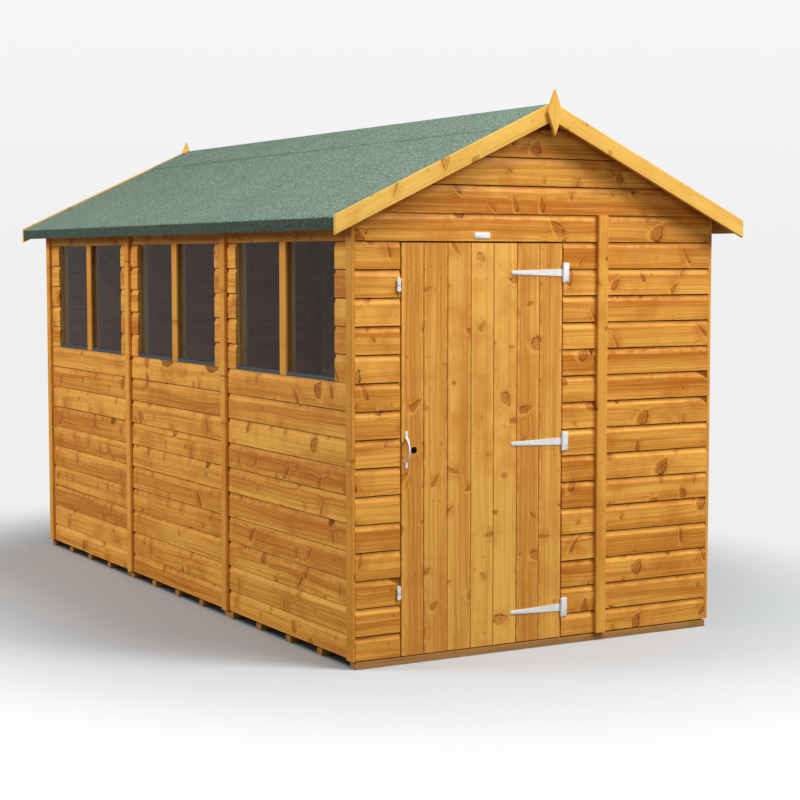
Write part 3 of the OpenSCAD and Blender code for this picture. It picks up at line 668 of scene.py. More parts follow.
trim = dipped_timber(
    "dipped_trim",
    Pale=stain(248, 182, 80),
    Deep=stain(208, 128, 38),
    Knot=stain(170, 84, 22),
    Joint=stain(96, 44, 10),
    Knot_share=0.42,
    Knot_size=0.018,
    Slant=1.6,
    Figure=0.8,
    Roughness=0.48,
    Wear=0.6,
)
strips = Stack(51)
for node in ("corner_strips", "panel_joint_strips"):
    for low, high in solids_of(node):
        strips.timber(low, high, 0.0025)
strips.piece("cover_strips", trim, "trim", "shed", "corner_strips", "panel_joint_strips")


# ---- Wall nails ----
# Small round wire nails at each stud, two to a board, punched just under the face so that the
# dip has run in round them and left dark dots.

NAIL = 0.0019


class Heads:
    """Low round heads gathered into one piece: nails, screws and clouts."""

    def __init__(self):
        self.verts, self.faces = [], []

    def add(self, middle, side, up, out, radius, rise, sides=8, crown=0.6):
        first = len(self.verts)
        for reach, height in ((1.0, 0.0), (1.0, crown * rise), (0.6, rise)):
            for k in range(sides):
                turn = 2 * math.pi * k / sides
                x, y = reach * radius * math.cos(turn), reach * radius * math.sin(turn)
                self.verts.append(tuple(middle[i] + side[i] * x + up[i] * y + out[i] * height for i in range(3)))
        for layer in (0, 1):
            for k in range(sides):
                here, after = first + layer * sides + k, first + layer * sides + (k + 1) % sides
                self.faces.append((here, after, after + sides, here + sides))
        self.faces.append(tuple(range(first + 2 * sides, first + 3 * sides)))
        self.faces.append(tuple(range(first + sides - 1, first - 1, -1)))

    def piece(self, name, material, slot, body, *nodes):
        mesh = bpy.data.meshes.new(name)
        mesh.from_pydata(self.verts, [], self.faces)
        return fit(name, mesh, material, slot, body, *nodes, rough=50)


def plain_finish(name, colour, roughness, metallic=0.0, speck=None, scale=400.0, share=0.3, bump=0.0002, shine=0.5):
    """A worked finish for small fittings: a colour that varies, with fine pits and scratches."""
    made = bpy.data.materials.new(name)
    made.use_nodes = True
    tree = made.node_tree
    surface = tree.nodes["Principled BSDF"].inputs
    where = put(tree, "TexCoord").outputs["Object"]
    fine = cloud(tree, where, scale, 3.0, 0.6)
    wide = cloud(tree, where, 30.0, 2.0)
    mark = fade(tree, reckon(tree, "ADD", reckon(tree, "MULTIPLY", fine, 0.6), reckon(tree, "MULTIPLY", wide, 0.4)), 0.42, 0.64)
    shade = tint(tree, reckon(tree, "MULTIPLY", mark, share), colour, speck or colour)
    tree.links.new(shade, surface["Base Color"])
    rough = reckon(tree, "ADD", roughness, reckon(tree, "MULTIPLY", reckon(tree, "SUBTRACT", fine, 0.5), 0.25))
    tree.links.new(rough, surface["Roughness"])
    pits = put(tree, "Bump", {"Height": fine, "Strength": 0.35, "Distance": bump})
    tree.links.new(pits.outputs["Normal"], surface["Normal"])
    surface["Metallic"].default_value = metallic
    surface["Specular IOR Level"].default_value = shine
    return made


nail_steel = plain_finish("dark_nails", stain(112, 54, 16), 0.8, 0.0, stain(74, 34, 10), share=0.7, shine=0.1)
nails = Heads()
nail_luck = random.Random(61)


def nail_row(wall, spots, low, high, each=2):
    """Nails through each course at the given places along a wall."""
    out = [0.0, 0.0, 0.0]
    out[1 - wall.axis] = -wall.inward
    side = [0.0, 0.0, 0.0]
    side[wall.axis] = 1.0
    for foot, cover in course_levels(low, high):
        for s in spots:
            for k in range(each):
                if nail_luck.random() < 0.4:
                    continue
                z = foot + cover * (0.22 + 0.4 * k) + nail_luck.uniform(-0.006, 0.006)
                middle = wall.at(s + nail_luck.uniform(-0.005, 0.005), z, 0.0001)
                nails.add(middle, side, (0, 0, 1), out, NAIL, 0.0004, sides=6)


for low, high in below:
    middle = (low[1] + high[1]) / 2
    nail_row(left_face, (low[1] + 0.036, middle, high[1] - 0.036), low[2], high[2])
for low, high in beside:
    nail_row(left_face, (low[1] + 0.02, high[1] - 0.02), low[2], high[2], 1)
for low, high in over:
    nail_row(left_face, (low[1] + 0.036, high[1] - 0.036), low[2], high[2])
for low, high in right_boards:
    middle = (low[1] + high[1]) / 2
    nail_row(right_face, (low[1] + 0.036, middle, high[1] - 0.036), low[2], high[2])
for low, high in back_boards:
    middle = (low[0] + high[0]) / 2
    nail_row(back_face, (low[0] + 0.03, middle, high[0] - 0.03), low[2], high[2])
nail_row(front_face, (closing[0][0] + 0.018, closing[1][0] - 0.014), closing[0][2], closing[1][2])
nail_row(front_face, (hinging[0][0] + 0.045, hinging[1][0] - 0.04), hinging[0][2], hinging[1][2])
for low, high in solids_of("front_narrow_panel_boards"):
    nail_row(front_face, (low[0] + 0.042, (low[0] + high[0]) / 2, high[0] - 0.018), low[2], high[2])
strip_low, strip_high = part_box("panel_joint_strips")
for node in ("corner_strips", "panel_joint_strips"):
    for low, high in solids_of(node):
        flat = 0 if high[0] - low[0] < high[1] - low[1] else 1
        near = high if (low[flat] + high[flat]) > 0 else low
        out = [0.0, 0.0, 0.0]
        out[flat] = 1.0 if near is high else -1.0
        side = [0.0, 0.0, 0.0]
        side[1 - flat] = 1.0
        for k in range(6):
            middle = [0.0, 0.0, low[2] + 0.07 + k * (high[2] - low[2] - 0.14) / 5 + nail_luck.uniform(-0.03, 0.03)]
            middle[flat] = near[flat]
            middle[1 - flat] = (low[1 - flat] + high[1 - flat]) / 2 + nail_luck.uniform(-0.008, 0.008)
            nails.add(middle, side, (0, 0, 1), out, NAIL, 0.0004, sides=6)
nails.piece("wall_nails", nail_steel, "framing", "shed")


# ---- Windows ----
# Each windowed panel has one opening split by an upright strip over the middle stud. Clear sheet
# glazing sits behind the boards, with a grey capping strip along its foot.

mullions = Stack(71)
for low, high in solids_of("window_mullions"):
    mullions.timber(low, high, 0.002)
mullions.piece("window_mullions_planed", trim, "trim", "shed", "window_mullions")

clear_sheet = bpy.data.materials.new("clear_sheet")
clear_sheet.use_nodes = True
tree = clear_sheet.node_tree
surface = tree.nodes["Principled BSDF"].inputs
where = put(tree, "TexCoord").outputs["Object"]
surface["Base Color"].default_value = (0.62, 0.69, 0.73, 1)
surface["Transmission Weight"].default_value = 1.0
surface["IOR"].default_value = 1.45
dust = fade(tree, cloud(tree, where, 14.0, 4.0, 0.7), 0.4, 0.8, 0.02, 0.09)
tree.links.new(dust, surface["Roughness"])
ripple = put(tree, "Bump", {"Height": cloud(tree, where, 3.0, 1.0), "Strength": 0.12, "Distance": 0.004})
tree.links.new(ripple.outputs["Normal"], surface["Normal"])
passing = put(tree, "LightPath").outputs["Is Shadow Ray"]
through = put(tree, "BsdfTransparent", {"Color": (0.8, 0.82, 0.81, 1)})
sheet = put(tree, "MixShader", {0: passing, 1: tree.nodes["Principled BSDF"].outputs[0], 2: through.outputs[0]})
tree.links.new(sheet.outputs[0], tree.nodes["Material Output"].inputs["Surface"])
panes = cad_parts["window_glass"]
panes.data.materials.clear()
panes.data.materials.append(clear_sheet)

capping = plain_finish("grey_capping", stain(70, 82, 90), 0.38, 0.0, stain(50, 60, 68), 220.0, 0.6)
sills = Stack(72)
for low, high in solids_of("window_sills"):
    x, z, top = low[0], low[2], high[2]
    outline = [(z, x), (z + 0.009, x), (z + 0.0128, x + 0.0012), (z + 0.0152, x + 0.0045), (top, x + 0.009), (top, high[0]), (z, high[0])]
    sills.lay(outline, [0.0] * 7, [low[1], high[1]], lambda s, a, d: (d, s, a), wander=0.0)
sills.piece("window_cappings", capping, "sill_strip", "shed", "window_sills", rough=60)


# ---- Roof timbers ----
# Purlins run from gable to gable and carry the roof boards; rafters are nailed inside each gable
# and battens run along the eaves, where the felt is turned down and nailed.


def roof_line(apex, x):
    return apex - SLOPE * abs(x)


def slope_timber(stack, near, far, foot, length, side):
    """A timber between two distances from the ridge, its top planed to the slope."""
    top = under_boards - 0.0002
    corners = [(near, foot), (far, foot), (far, roof_line(top, far)), (near, roof_line(top, near))]
    outline, arris = eased(corners, 0.001)
    stack.lay(outline, arris, stretch(-length, length), lambda s, a, d: (side * a, s, d))


roof_low, roof_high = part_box("roof_purlins")
wall_top = closing[1][2] + COURSE
purlins = Stack(81)
battens = Stack(82)
drop_foot = felt_low[2]
for side in (-1, 1):
    slope_timber(purlins, 0.001, 0.029, under_boards - 0.044 - 0.028 * SLOPE, roof_high[1], side)
    middle = half_width / 2
    slope_timber(purlins, middle, middle + 0.028, roof_line(under_boards, middle + 0.028) - 0.044, roof_high[1], side)
    plate = half_width - 0.012
    slope_timber(purlins, plate - 0.028, plate, wall_top, roof_high[1], side)
    eaves = boards_high[0] * 0 - boards_low[0]
    slope_timber(battens, eaves - 0.028, eaves - 0.0003, drop_foot + 0.001, -boards_low[1], side)
purlins.piece("purlins", sawn, "framing", "shed", "roof_purlins")
battens.piece("eaves_timbers", sawn, "framing", "shed", "eaves_battens")

rafters = Stack(83)
rafter_low, rafter_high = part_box("gable_rafters")
foot = rafter_low[2]
top = under_boards - 0.0002
for end in (-1, 1):
    outer, inner = end * rafter_high[1], end * (rafter_high[1] - 0.044)
    for side in (-1, 1):
        outline, arris = eased([(0.0, outer), (0.028 * PLUMB, outer), (0.028 * PLUMB, inner), (0.0, inner)], 0.001)

        def sloped(s, a, d, side=side):
            x = max(0.0006, min(s * math.cos(PITCH), (top - a - foot) / SLOPE))
            return (side * x, d, top - SLOPE * x - a)

        rafters.lay(outline, arris, stretch(0.0, (top - foot) / SLOPE * PLUMB), sloped, wander=0.0)
rafters.piece("rafters", sawn, "framing", "shed", "gable_rafters")


# ---- Roof boards ----
# Narrow tongued boards nailed down the slope from ridge to eaves over the purlins. Only their
# undersides show, at the eaves and inside.

roof_timber = dipped_timber(
    "dipped_roof_boards",
    Pale=stain(214, 152, 80),
    Deep=stain(162, 98, 40),
    Knot=stain(110, 52, 18),
    Joint=stain(60, 30, 10),
    Knot_share=0.5,
    Knot_size=0.02,
    Roughness=0.62,
    Wear=0.3,
    Saw_marks=0.15,
)
eaves = -boards_low[0]
roof_length = -boards_low[1]
for name, seed, side, node in (
    ("left_boarding", 91, -1, "left_roof_boards"),
    ("right_boarding", 92, 1, "right_roof_boards"),
):
    boarding = Stack(seed)
    count = round(2 * roof_length / 0.112)
    width = 2 * roof_length / count
    for i in range(count):
        y0, y1 = -roof_length + i * width, -roof_length + (i + 1) * width
        corners = [(y0 + 0.0004, 0.0), (y1 - 0.0004, 0.0), (y1 - 0.0004, 0.012 * PLUMB), (y0 + 0.0004, 0.012 * PLUMB)]
        outline, arris = eased(corners, 0.0018, 0.006)

        def lie(s, a, d, side=side):
            x = s * math.cos(PITCH)
            return (side * x, a, roof_line(under_boards, x) + d)

        boarding.lay(outline, arris, stretch(0.0004, eaves * PLUMB), lie, wander=0.0)
    boarding.piece(name, roof_timber, "framing", "shed", node)


# ---- Felt ----
# Green mineral felt rolled out along each slope, turned down over the eaves and nailed, with a
# strip lapped over the ridge. The surface is crushed slate granules pressed into bitumen.

granules = bpy.data.materials.new("green_mineral_felt")
granules.use_nodes = True
tree = granules.node_tree
surface = tree.nodes["Principled BSDF"].inputs
where = put(tree, "TexCoord").outputs["Object"]
grit = put(tree, "TexVoronoi", {"Vector": where, "Scale": 520.0})
grit_shade = put(tree, "SeparateColor", {0: grit.outputs["Color"]}).outputs
grit_coarse = cloud(tree, where, 120.0, 3.0, 0.8)
patches = cloud(tree, where, 5.0, 4.0, 0.6)
mottle = cloud(tree, where, 60.0, 3.0, 0.7)
shade = tint(tree, fade(tree, grit_coarse, 0.42, 0.58), stain(54, 80, 62), stain(156, 178, 160))
shade = tint(tree, fade(tree, mottle, 0.42, 0.72, 0.0, 0.3), shade, stain(100, 130, 110))
shade = tint(tree, fade(tree, grit_shade[0], 0.72, 0.95, 0.0, 0.75), shade, stain(188, 204, 190))
shade = tint(tree, fade(tree, grit_shade[1], 0.72, 0.95, 0.0, 0.8), shade, stain(62, 82, 68))
shade = tint(tree, fade(tree, patches, 0.35, 0.75, 0.0, 0.3), shade, stain(98, 122, 106))
# Faces that turn from up towards the side or down, the turned-down edges and the undersides, are darkened: painted
# shade.
normal_up_for_painted_shade = put(tree, "SeparateXYZ", {0: put(tree, "NewGeometry").outputs["Normal"]}).outputs[2]
shade = tint(tree, fade(tree, normal_up_for_painted_shade, 0.6, 0.15, 0.0, 0.72), shade, stain(30, 42, 34))
tree.links.new(shade, surface["Base Color"])
tree.links.new(fade(tree, grit_coarse, 0.2, 0.8, 0.86, 0.98), surface["Roughness"])
depth = reckon(tree, "ADD", reckon(tree, "MULTIPLY", grit.outputs["Distance"], -0.8), reckon(tree, "MULTIPLY", grit_coarse, 0.8))
pressed = put(tree, "Bump", {"Height": depth, "Strength": 0.8, "Distance": 0.0012})
tree.links.new(pressed.outputs["Normal"], surface["Normal"])
surface["Specular IOR Level"].default_value = 0.2


def felt_sheet(name, line, length, thick, seed, material, slot, *nodes):
    """A sheet over a line of (x, z) points from edge to edge, drawn out along the roof."""
    luck = random.Random(seed)
    waves = [(luck.uniform(0.5, 2.6), luck.uniform(1.5, 6), luck.uniform(0, 6.3), luck.uniform(0, 6.3)) for _ in range(6)]
    rows = 96
    verts, faces = [], []
    count = len(line)
    for layer in (0, 1):
        for j in range(rows + 1):
            y = -length + 2 * length * j / rows
            for i, (x, z, nx, nz, loose) in enumerate(line):
                lift = sum(math.sin(a * y + p) * math.sin(b * x + q) for a, b, p, q in waves) / 6 * loose
                out = lift + (thick * (0.3 if i in (0, count - 1) else 1.0) if layer else 0.0)
                verts.append((x + nx * out, y, z + nz * out))
    step = (rows + 1) * count
    for j in range(rows):
        for i in range(count - 1):
            a = j * count + i
            faces.append((a, a + 1, a + count + 1, a + count))
            faces.append((step + a + count, step + a + count + 1, step + a + 1, step + a))
        for a in (j * count, j * count + count - 1):
            faces.append((a, a + count, step + a + count, step + a))
    for j in (0, rows):
        for i in range(count - 1):
            a = j * count + i
            faces.append((a, a + 1, step + a + 1, step + a))
    mesh = bpy.data.meshes.new(name)
    mesh.from_pydata(verts, [], faces)
    return fit(name, mesh, material, slot, "shed", *nodes, rough=70)


felt_length = felt_high[1]
edge_x = -felt_low[0]
thick = 0.0023
for name, seed, side, node in (("left_felt", 101, -1, "left_roof_felt"), ("right_felt", 102, 1, "right_roof_felt")):
    line = []
    base = felt_top - 0.0025 * PLUMB
    for i in range(29):
        x = (edge_x - 0.011) * i / 28
        line.append((side * x, roof_line(base, x), side * math.sin(PITCH), math.cos(PITCH), 0.0011 * min(1.0, i / 3)))
    for i in range(1, 7):
        turn = PITCH + (math.pi / 2 - PITCH) * i / 6 * 1.0
        lean = math.pi / 2 - turn
        x = edge_x - 0.0105 + 0.0082 * math.sin((math.pi / 2) * i / 6)
        z = roof_line(base, edge_x - 0.011) - 0.0078 * (1 - math.cos((math.pi / 2) * i / 6)) - 0.0034 * i / 6
        line.append((side * x, z, side * math.cos(lean), math.sin(lean), 0.0))
    low_z = felt_low[2]
    start_z = line[-1][1]
    for i in range(1, 5):
        line.append((side * (edge_x - 0.0024), start_z + (low_z - start_z) * i / 4, side * 1.0, 0.0, 0.0))
    felt_sheet(name, line, felt_length, thick, seed, granules, "felt", node)

ridge_low, ridge_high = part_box("ridge_felt")
spread = ridge_high[0]
line = []
for i in range(-12, 13):
    x = spread * i / 12
    round_off = 0.0012 * max(0.0, 1 - abs(i) / 2)
    lean = PITCH * max(-1.0, min(1.0, i / 1.5))
    line.append((x, roof_line(felt_top + 0.0004, x) - round_off, math.sin(lean), math.cos(lean), 0.0007 * min(1, abs(i) / 4)))
felt_sheet("ridge_strip", line, felt_length, thick, 103, granules, "felt", "ridge_felt")

# Galvanised clout nails hold the turned-down edge and the edges of the ridge strip.
zinc_clout = plain_finish("galvanised_clouts", stain(92, 104, 96), 0.6, 0.0, stain(60, 70, 64), share=0.7)
clouts = Heads()
clout_luck = random.Random(104)
for side in (-1, 1):
    for k in range(20):
        y = -felt_length + 0.06 + k * (2 * felt_length - 0.12) / 19 + clout_luck.uniform(-0.015, 0.015)
        clouts.add((side * edge_x, y, felt_low[2] + 0.022), (0, 1, 0), (0, 0, 1), (side, 0, 0), 0.0048, 0.0012, 10)
        x = spread - 0.022
        z = roof_line(felt_top + 0.0004 + thick * PLUMB, x)
        up = (-side * math.cos(PITCH), 0, math.sin(PITCH))
        out = (side * math.sin(PITCH), 0, math.cos(PITCH))
        clouts.add((side * x, y + 0.03, z), (0, 1, 0), up, out, 0.0048, 0.0012, 10)
clouts.piece("felt_clouts", zinc_clout, "felt", "shed")


# ---- Bargeboards and finials ----
# Planed boards mitred at the ridge and cut plumb at the eaves, nailed over the ends of the roof
# boards. A long diamond covers each mitre, brighter than the walls because the timber is cleaner.

clean = dipped_timber(
    "dipped_bargeboard",
    Pale=stain(252, 204, 102),
    Deep=stain(226, 160, 60),
    Knot=stain(190, 98, 24),
    Joint=stain(120, 58, 14),
    Knot_share=0.5,
    Knot_size=0.028,
    Slant=1.4,
    Figure=0.8,
    Roughness=0.45,
    Wear=0.5,
)
for name, seed, node in (("front_barge", 111, "front_bargeboards"), ("back_barge", 112, "back_bargeboards")):
    low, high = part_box(node)
    apex, reach = high[2], high[0]
    drop = 0.074
    barge = Stack(seed)
    for side in (-1, 1):
        outline, arris = eased([(0.0, low[1]), (drop, low[1]), (drop, high[1]), (0.0, high[1])], 0.0018, 0.006)

        def hang(s, a, d, side=side):
            x = s * math.cos(PITCH)
            return (side * x, d, roof_line(apex, x) - a)

        barge.lay(outline, arris, stretch(0.0006, reach * PLUMB), hang, wander=0.0)
    barge.piece(name, clean, "bargeboard", "shed", node)

finials = Stack(113)
for low, high in solids_of("finials"):
    middle, half = (low[2] + high[2]) / 2, high[0]
    tall = (high[2] - low[2]) / 2
    front = low[1] if low[1] < 0 else high[1]
    behind = high[1] if low[1] < 0 else low[1]
    into = 1 if behind > front else -1
    corners = [(tall, 0.0), (0.0, half), (-tall, 0.0), (0.0, -half)]

    def diamond(s, a, d, middle=middle):
        return (d, s, middle + a)

    full, arris = eased(corners, 0.0016, 0.008)
    small, _ = eased([(a * 0.965, d * 0.93) for a, d in corners], 0.0016, 0.008)
    first = len(finials.verts)
    depths = [front, front + into * 0.002, behind]
    finials.lay(full, arris, depths, diamond, wander=0.0)
    for k, (a, d) in enumerate(small):
        finials.verts[first + k] = diamond(front, a, d)
    shift = finials.chance.uniform(0, 30)
    for k in range(first, len(finials.verts)):
        x, y, z = finials.verts[k]
        finials.grain[k] = (z + shift, x + shift, y)
finials.piece("ridge_finials", clean, "bargeboard", "shed", "finials")

barge_nails = Heads()
for y, out in ((front_face.face - 0.0765, -1), (back_face.face + 0.0765, 1)):
    for side in (-1, 1):
        for k in range(5):
            x = 0.1 + k * 0.2
            z = roof_line(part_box("front_bargeboards")[1][2], x) - 0.03
            barge_nails.add((side * x, y + out * -0.0006, z), (1, 0, 0), (0, 0, 1), (0, out, 0), 0.0019, 0.0006, 8)
barge_nails.piece("bargeboard_nails", nail_steel, "bargeboard", "shed")


# ---- Door ----
# Seven upright tongued boards with a vee along each joint, nailed to three ledges and two braces
# at the back. The lock hole is bored through the first board.

door_wood = dipped_timber(
    "dipped_door",
    Pale=stain(252, 190, 90),
    Deep=stain(206, 126, 44),
    Knot=stain(196, 94, 18),
    Joint=stain(118, 50, 8),
    Knot_share=0.62,
    Knot_size=0.027,
    Slant=2.2,
    Slimness=3.6,
    Roughness=0.55,
    Wear=0.9,
)
door_low, door_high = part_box("door_boards")
BOARD_WIDTHS = [0.101, 0.110, 0.109, 0.108, 0.112, 0.109, 0.110]
VEE = 0.0032
lock_x, lock_z, lock_r = door_low[0] + 0.056, door_low[2] + 0.818, 0.0125


def board_outline(a0, a1, first, last):
    """One door board: front face at depth 0, a vee at each joint and square outer edges; the bottom of each vee carries
    painted shade.
    """
    line = [(a0, 0.012, 0.0)]
    line += [(a0, 0.0012, 1.0), (a0 + 0.0012, 0.0, 1.0)] if first else [(a0 + 0.0003, VEE, -0.6), (a0 + VEE, 0.0, 1.0)]
    line += [(a0 + 0.016, 0.0, 0.0), (a1 - 0.014, 0.0, 0.0)]
    line += [(a1 - 0.0012, 0.0, 1.0), (a1, 0.0012, 1.0)] if last else [(a1 - VEE, 0.0, 0.8), (a1 - 0.0003, VEE, -0.6)]
    line += [(a1, 0.012, 0.0)]
    return [(a, d) for a, d, _ in line], [e for _, _, e in line]


def upright(s, a, d):
    return (a, door_low[1] + d, s)


door = Stack(121)
left = door_low[0]
for i, width in enumerate(BOARD_WIDTHS):
    right = left + width
    outline, arris = board_outline(left, right, i == 0, i == 6)
    if i:
        door.lay(outline, arris, stretch(door_low[2], door_high[2]), upright, wander=0.0)
    else:
        marks = door.chance.getstate()
        for start, stop in ((door_low[2], lock_z - 0.03), (lock_z + 0.03, door_high[2])):
            door.chance.setstate(marks)
            door.lay(outline, arris, stretch(start, stop), upright, wander=0.0, ends=0.0)
        first = len(door.verts)
        shift = [g - c for g, c in zip(door.grain[-1], (door.verts[-1][2], door.verts[-1][0], 0.012))]
        rings = []
        for depth in (0.0, 0.012):
            square, circle = [], []
            for k in range(24):
                turn = 2 * math.pi * (k + 0.5) / 24
                dx, dz = math.cos(turn), math.sin(turn)
                reach = max(abs(dx) / (right - 0.0032 - lock_x if dx > 0 else lock_x - left - 0.0012), abs(dz) / 0.03)
                square.append((lock_x + dx / reach, lock_z + dz / reach))
                circle.append((lock_x + lock_r * dx, lock_z + lock_r * dz))
            for ring, wear_and_painted_light in ((square, 0.0), (circle, 0.8)):
                rings.append(len(door.verts))
                for x, z in ring:
                    door.verts.append((x, door_low[1] + depth, z))
                    door.grain.append((z + shift[0], x + shift[1], depth + shift[2]))
                    door.tone.append(door.tone[-1])
                    door.edge.append(wear_and_painted_light)
        for near, far in ((rings[0], rings[1]), (rings[1], rings[3]), (rings[3], rings[2]), (rings[2], rings[0])):
            for k in range(24):
                j = (k + 1) % 24
                door.faces.append((near + k, near + j, far + j, far + k))
    left = right
door.piece("door_leaf", door_wood, "door_timber", "door", "door_boards")

door_back = Stack(122)
for low, high in solids_of("door_ledges"):
    door_back.timber(low, high, 0.003)
ledges = solids_of("door_ledges")
for low, high in solids_of("door_braces"):
    x0, x1, z0, z1 = low[0], high[0], low[2], high[2]
    corners = [(x1, z0), (x1, z0 + 0.04), (x0 + 0.08, z1), (x0, z1), (x0, z1 - 0.04), (x1 - 0.08, z0)]
    outline, arris = eased(corners, 0.002)
    first = len(door_back.verts)
    door_back.lay(outline, arris, [low[1], high[1]], lambda s, a, d: (a, s, d), wander=0.0, ends=0.3)
    lean = math.atan2(z1 - z0, x0 - x1)
    for k in range(first, len(door_back.verts)):
        x, y, z = door_back.verts[k]
        along = x * math.cos(lean) + z * math.sin(lean)
        across = z * math.cos(lean) - x * math.sin(lean)
        door_back.grain[k] = (along + 7, across + 3, y)
door_back.piece("door_ledges_and_braces", sawn, "framing", "door", "door_ledges", "door_braces")

door_nails = Heads()
door_luck = random.Random(123)
left = door_low[0]
for width in BOARD_WIDTHS:
    for low, high in ledges:
        for share in (0.22, 0.78):
            for a in (0.3, 0.7):
                x = left + width * a + door_luck.uniform(-0.006, 0.006)
                z = low[2] + (high[2] - low[2]) * share + door_luck.uniform(-0.004, 0.004)
                door_nails.add((x, door_low[1] + 0.0001, z), (1, 0, 0), (0, 0, 1), (0, -1, 0), 0.0022, 0.0004, 6)
    left += width
door_nails.piece("door_nails", nail_steel, "door_timber", "door")

# The lock hole is lined with a black plastic bush with a rounded rim.
black_plastic = plain_finish("black_bush", stain(22, 20, 20), 0.6, 0.0, stain(34, 32, 32), 600.0, 0.6, shine=0.25)
bush = Stack(124)
profile = [(0.0122, 0.0105), (0.0122, 0.0004), (0.0134, 0.0002), (0.0137, -0.0005), (0.0131, -0.0010), (0.0114, -0.0009)]
profile += [(0.0100, 0.0002), (0.0097, 0.0105)]


def ring_place(s, a, d):
    return (lock_x + a * math.cos(s), door_low[1] + d, lock_z + a * math.sin(s))


bush.lay(profile, [0.0] * 8, [2 * math.pi * k / 32 for k in range(33)], ring_place, wander=0.0)
back_plate = [(0.0005, 0.0100), (0.0099, 0.0100), (0.0099, 0.0108), (0.0005, 0.0108)]
bush.lay(back_plate, [0.0] * 4, [2 * math.pi * k / 32 for k in range(33)], ring_place, wander=0.0)
bush.piece("lock_bush", black_plastic, "door_timber", "door", rough=40)


# ---- Hinges ----
# Three tee hinges pressed from steel strip, zinc plated and bright: a tapered strap rolled round
# the pin on the door, and a short upright plate screwed to the boards beside it.

plated = plain_finish("bright_zinc", stain(247, 248, 249), 0.34, 0.0, stain(222, 226, 229), 260.0, 0.55)
strap_boxes = solids_of("hinge_straps")
plate_boxes = solids_of("hinge_plates")
pin_x, pin_y = 0.1025, door_low[1] - 0.0055
THICK = 0.0025


def pressed_plate(stack, outline, front, back, ease=0.0006):
    """A flat pressing with its front edge rounded over."""
    middle = [sum(p[i] for p in outline) / len(outline) for i in (0, 1)]

    def shrunk(by):
        return [
            (x + (middle[0] - x) * by / max(0.004, math.hypot(middle[0] - x, middle[1] - z)),
             z + (middle[1] - z) * by / max(0.004, math.hypot(middle[0] - x, middle[1] - z)))
            for x, z in outline
        ]

    layers = [(shrunk(ease * 1.2), front), (shrunk(ease * 0.35), front + ease * 0.35), (outline, front + ease), (outline, back)]
    first, count = len(stack.verts), len(outline)
    for points, y in layers:
        for x, z in points:
            stack.verts.append((x, y, z))
            stack.grain.append((x, z, y))
            stack.tone.append(0.5)
            stack.edge.append(0.0)
    for i in range(len(layers) - 1):
        for k in range(count):
            here, after = first + i * count + k, first + i * count + (k + 1) % count
            stack.faces.append((here, after, after + count, here + count))
    top = first + (len(layers) - 1) * count
    stack.faces.append(tuple(range(first + count - 1, first - 1, -1)))
    stack.faces.append(tuple(range(top, top + count)))


def knuckle(stack, x, y, low, high, outer, inner, sides=24):
    """A rolled barrel round the pin, open in the middle."""
    outline = [(inner, low), (outer - 0.0005, low), (outer, low + 0.0005), (outer, high - 0.0005), (outer - 0.0005, high), (inner, high)]
    turns = [2 * math.pi * k / sides for k in range(sides + 1)]
    stack.lay(outline, [0.0] * 6, turns, lambda s, a, d: (x + a * math.cos(s), y + a * math.sin(s), d), wander=0.0)


straps, plates, screws, plate_screws = Stack(131), Stack(132), Heads(), Heads()
front_y = door_low[1] - THICK
for low, high in strap_boxes:
    z = (low[2] + high[2]) / 2
    half = (high[2] - low[2]) / 2
    tip = low[0] + 0.008
    outline = [(pin_x - 0.0035, half), (pin_x - 0.013, half)]
    outline += [(pin_x - 0.03, half * 0.93)]
    outline += [(tip + 0.008 * math.cos(t), 0.008 * math.sin(t)) for t in [math.pi * (0.5 + k / 10) for k in range(11)]]
    outline += [(pin_x - 0.03, -half * 0.93), (pin_x - 0.013, -half), (pin_x - 0.0035, -half)]
    pressed_plate(straps, [(x, z + dz) for x, dz in outline], front_y, door_low[1])
    knuckle(straps, pin_x, pin_y, z - half, z + half, 0.005, 0.00262)
    for share in (0.06, 0.33, 0.6, 0.86):
        x = tip + (pin_x - tip) * share
        offset = 0.0 if share < 0.5 else 0.0055 * (1 if share < 0.8 else -1)
        screws.add((x, front_y, z + offset), (1, 0, 0), (0, 0, 1), (0, -1, 0), 0.0036, 0.0011, 16)
for low, high in plate_boxes:
    z = (low[2] + high[2]) / 2
    half = (high[2] - low[2]) / 2
    reach, notch, grip = high[0], pin_x + 0.0065, 0.015
    outline = [(pin_x + 0.003, half), (reach, half), (reach, -half), (pin_x + 0.003, -half), (pin_x + 0.003, -grip), (notch, -grip)]
    outline += [(notch, grip), (pin_x + 0.003, grip)]
    pressed_plate(plates, [(x, z + dz) for x, dz in outline], front_y, door_low[1], 0.0003)
    for a, b in ((-half, -grip), (grip, half)):
        knuckle(plates, pin_x, pin_y, z + a, z + b, 0.005, 0.0024)
    pin = [(0.0002, z - half - 0.0009), (0.0021, z - half - 0.0009), (0.0025, z - half), (0.0025, z + half)]
    pin += [(0.0021, z + half + 0.0009), (0.0002, z + half + 0.0009)]
    turns = [2 * math.pi * k / 20 for k in range(21)]
    plates.lay(pin, [0.0] * 6, turns, lambda s, a, d: (pin_x + a * math.cos(s), pin_y + a * math.sin(s), d), wander=0.0)
    for dx, dz in ((0.018, 0.029), (0.024, 0.012), (0.024, -0.012), (0.018, -0.029)):
        plate_screws.add((pin_x + dx, front_y, z + dz), (1, 0, 0), (0, 0, 1), (0, -1, 0), 0.0033, 0.001, 16)
straps.piece("hinge_straps_plated", plated, "white_steel", "door", "hinge_straps", rough=40)
plates.piece("hinge_plates_plated", plated, "white_steel", "shed", "hinge_plates", rough=40)
screws.piece("strap_screws", plated, "white_steel", "door")
plate_screws.piece("plate_screws", plated, "white_steel", "shed")


# ---- Pull handle ----
# A bow handle bent from steel bar with a flattened foot at each end, screwed to the first board
# of the door at hand height.

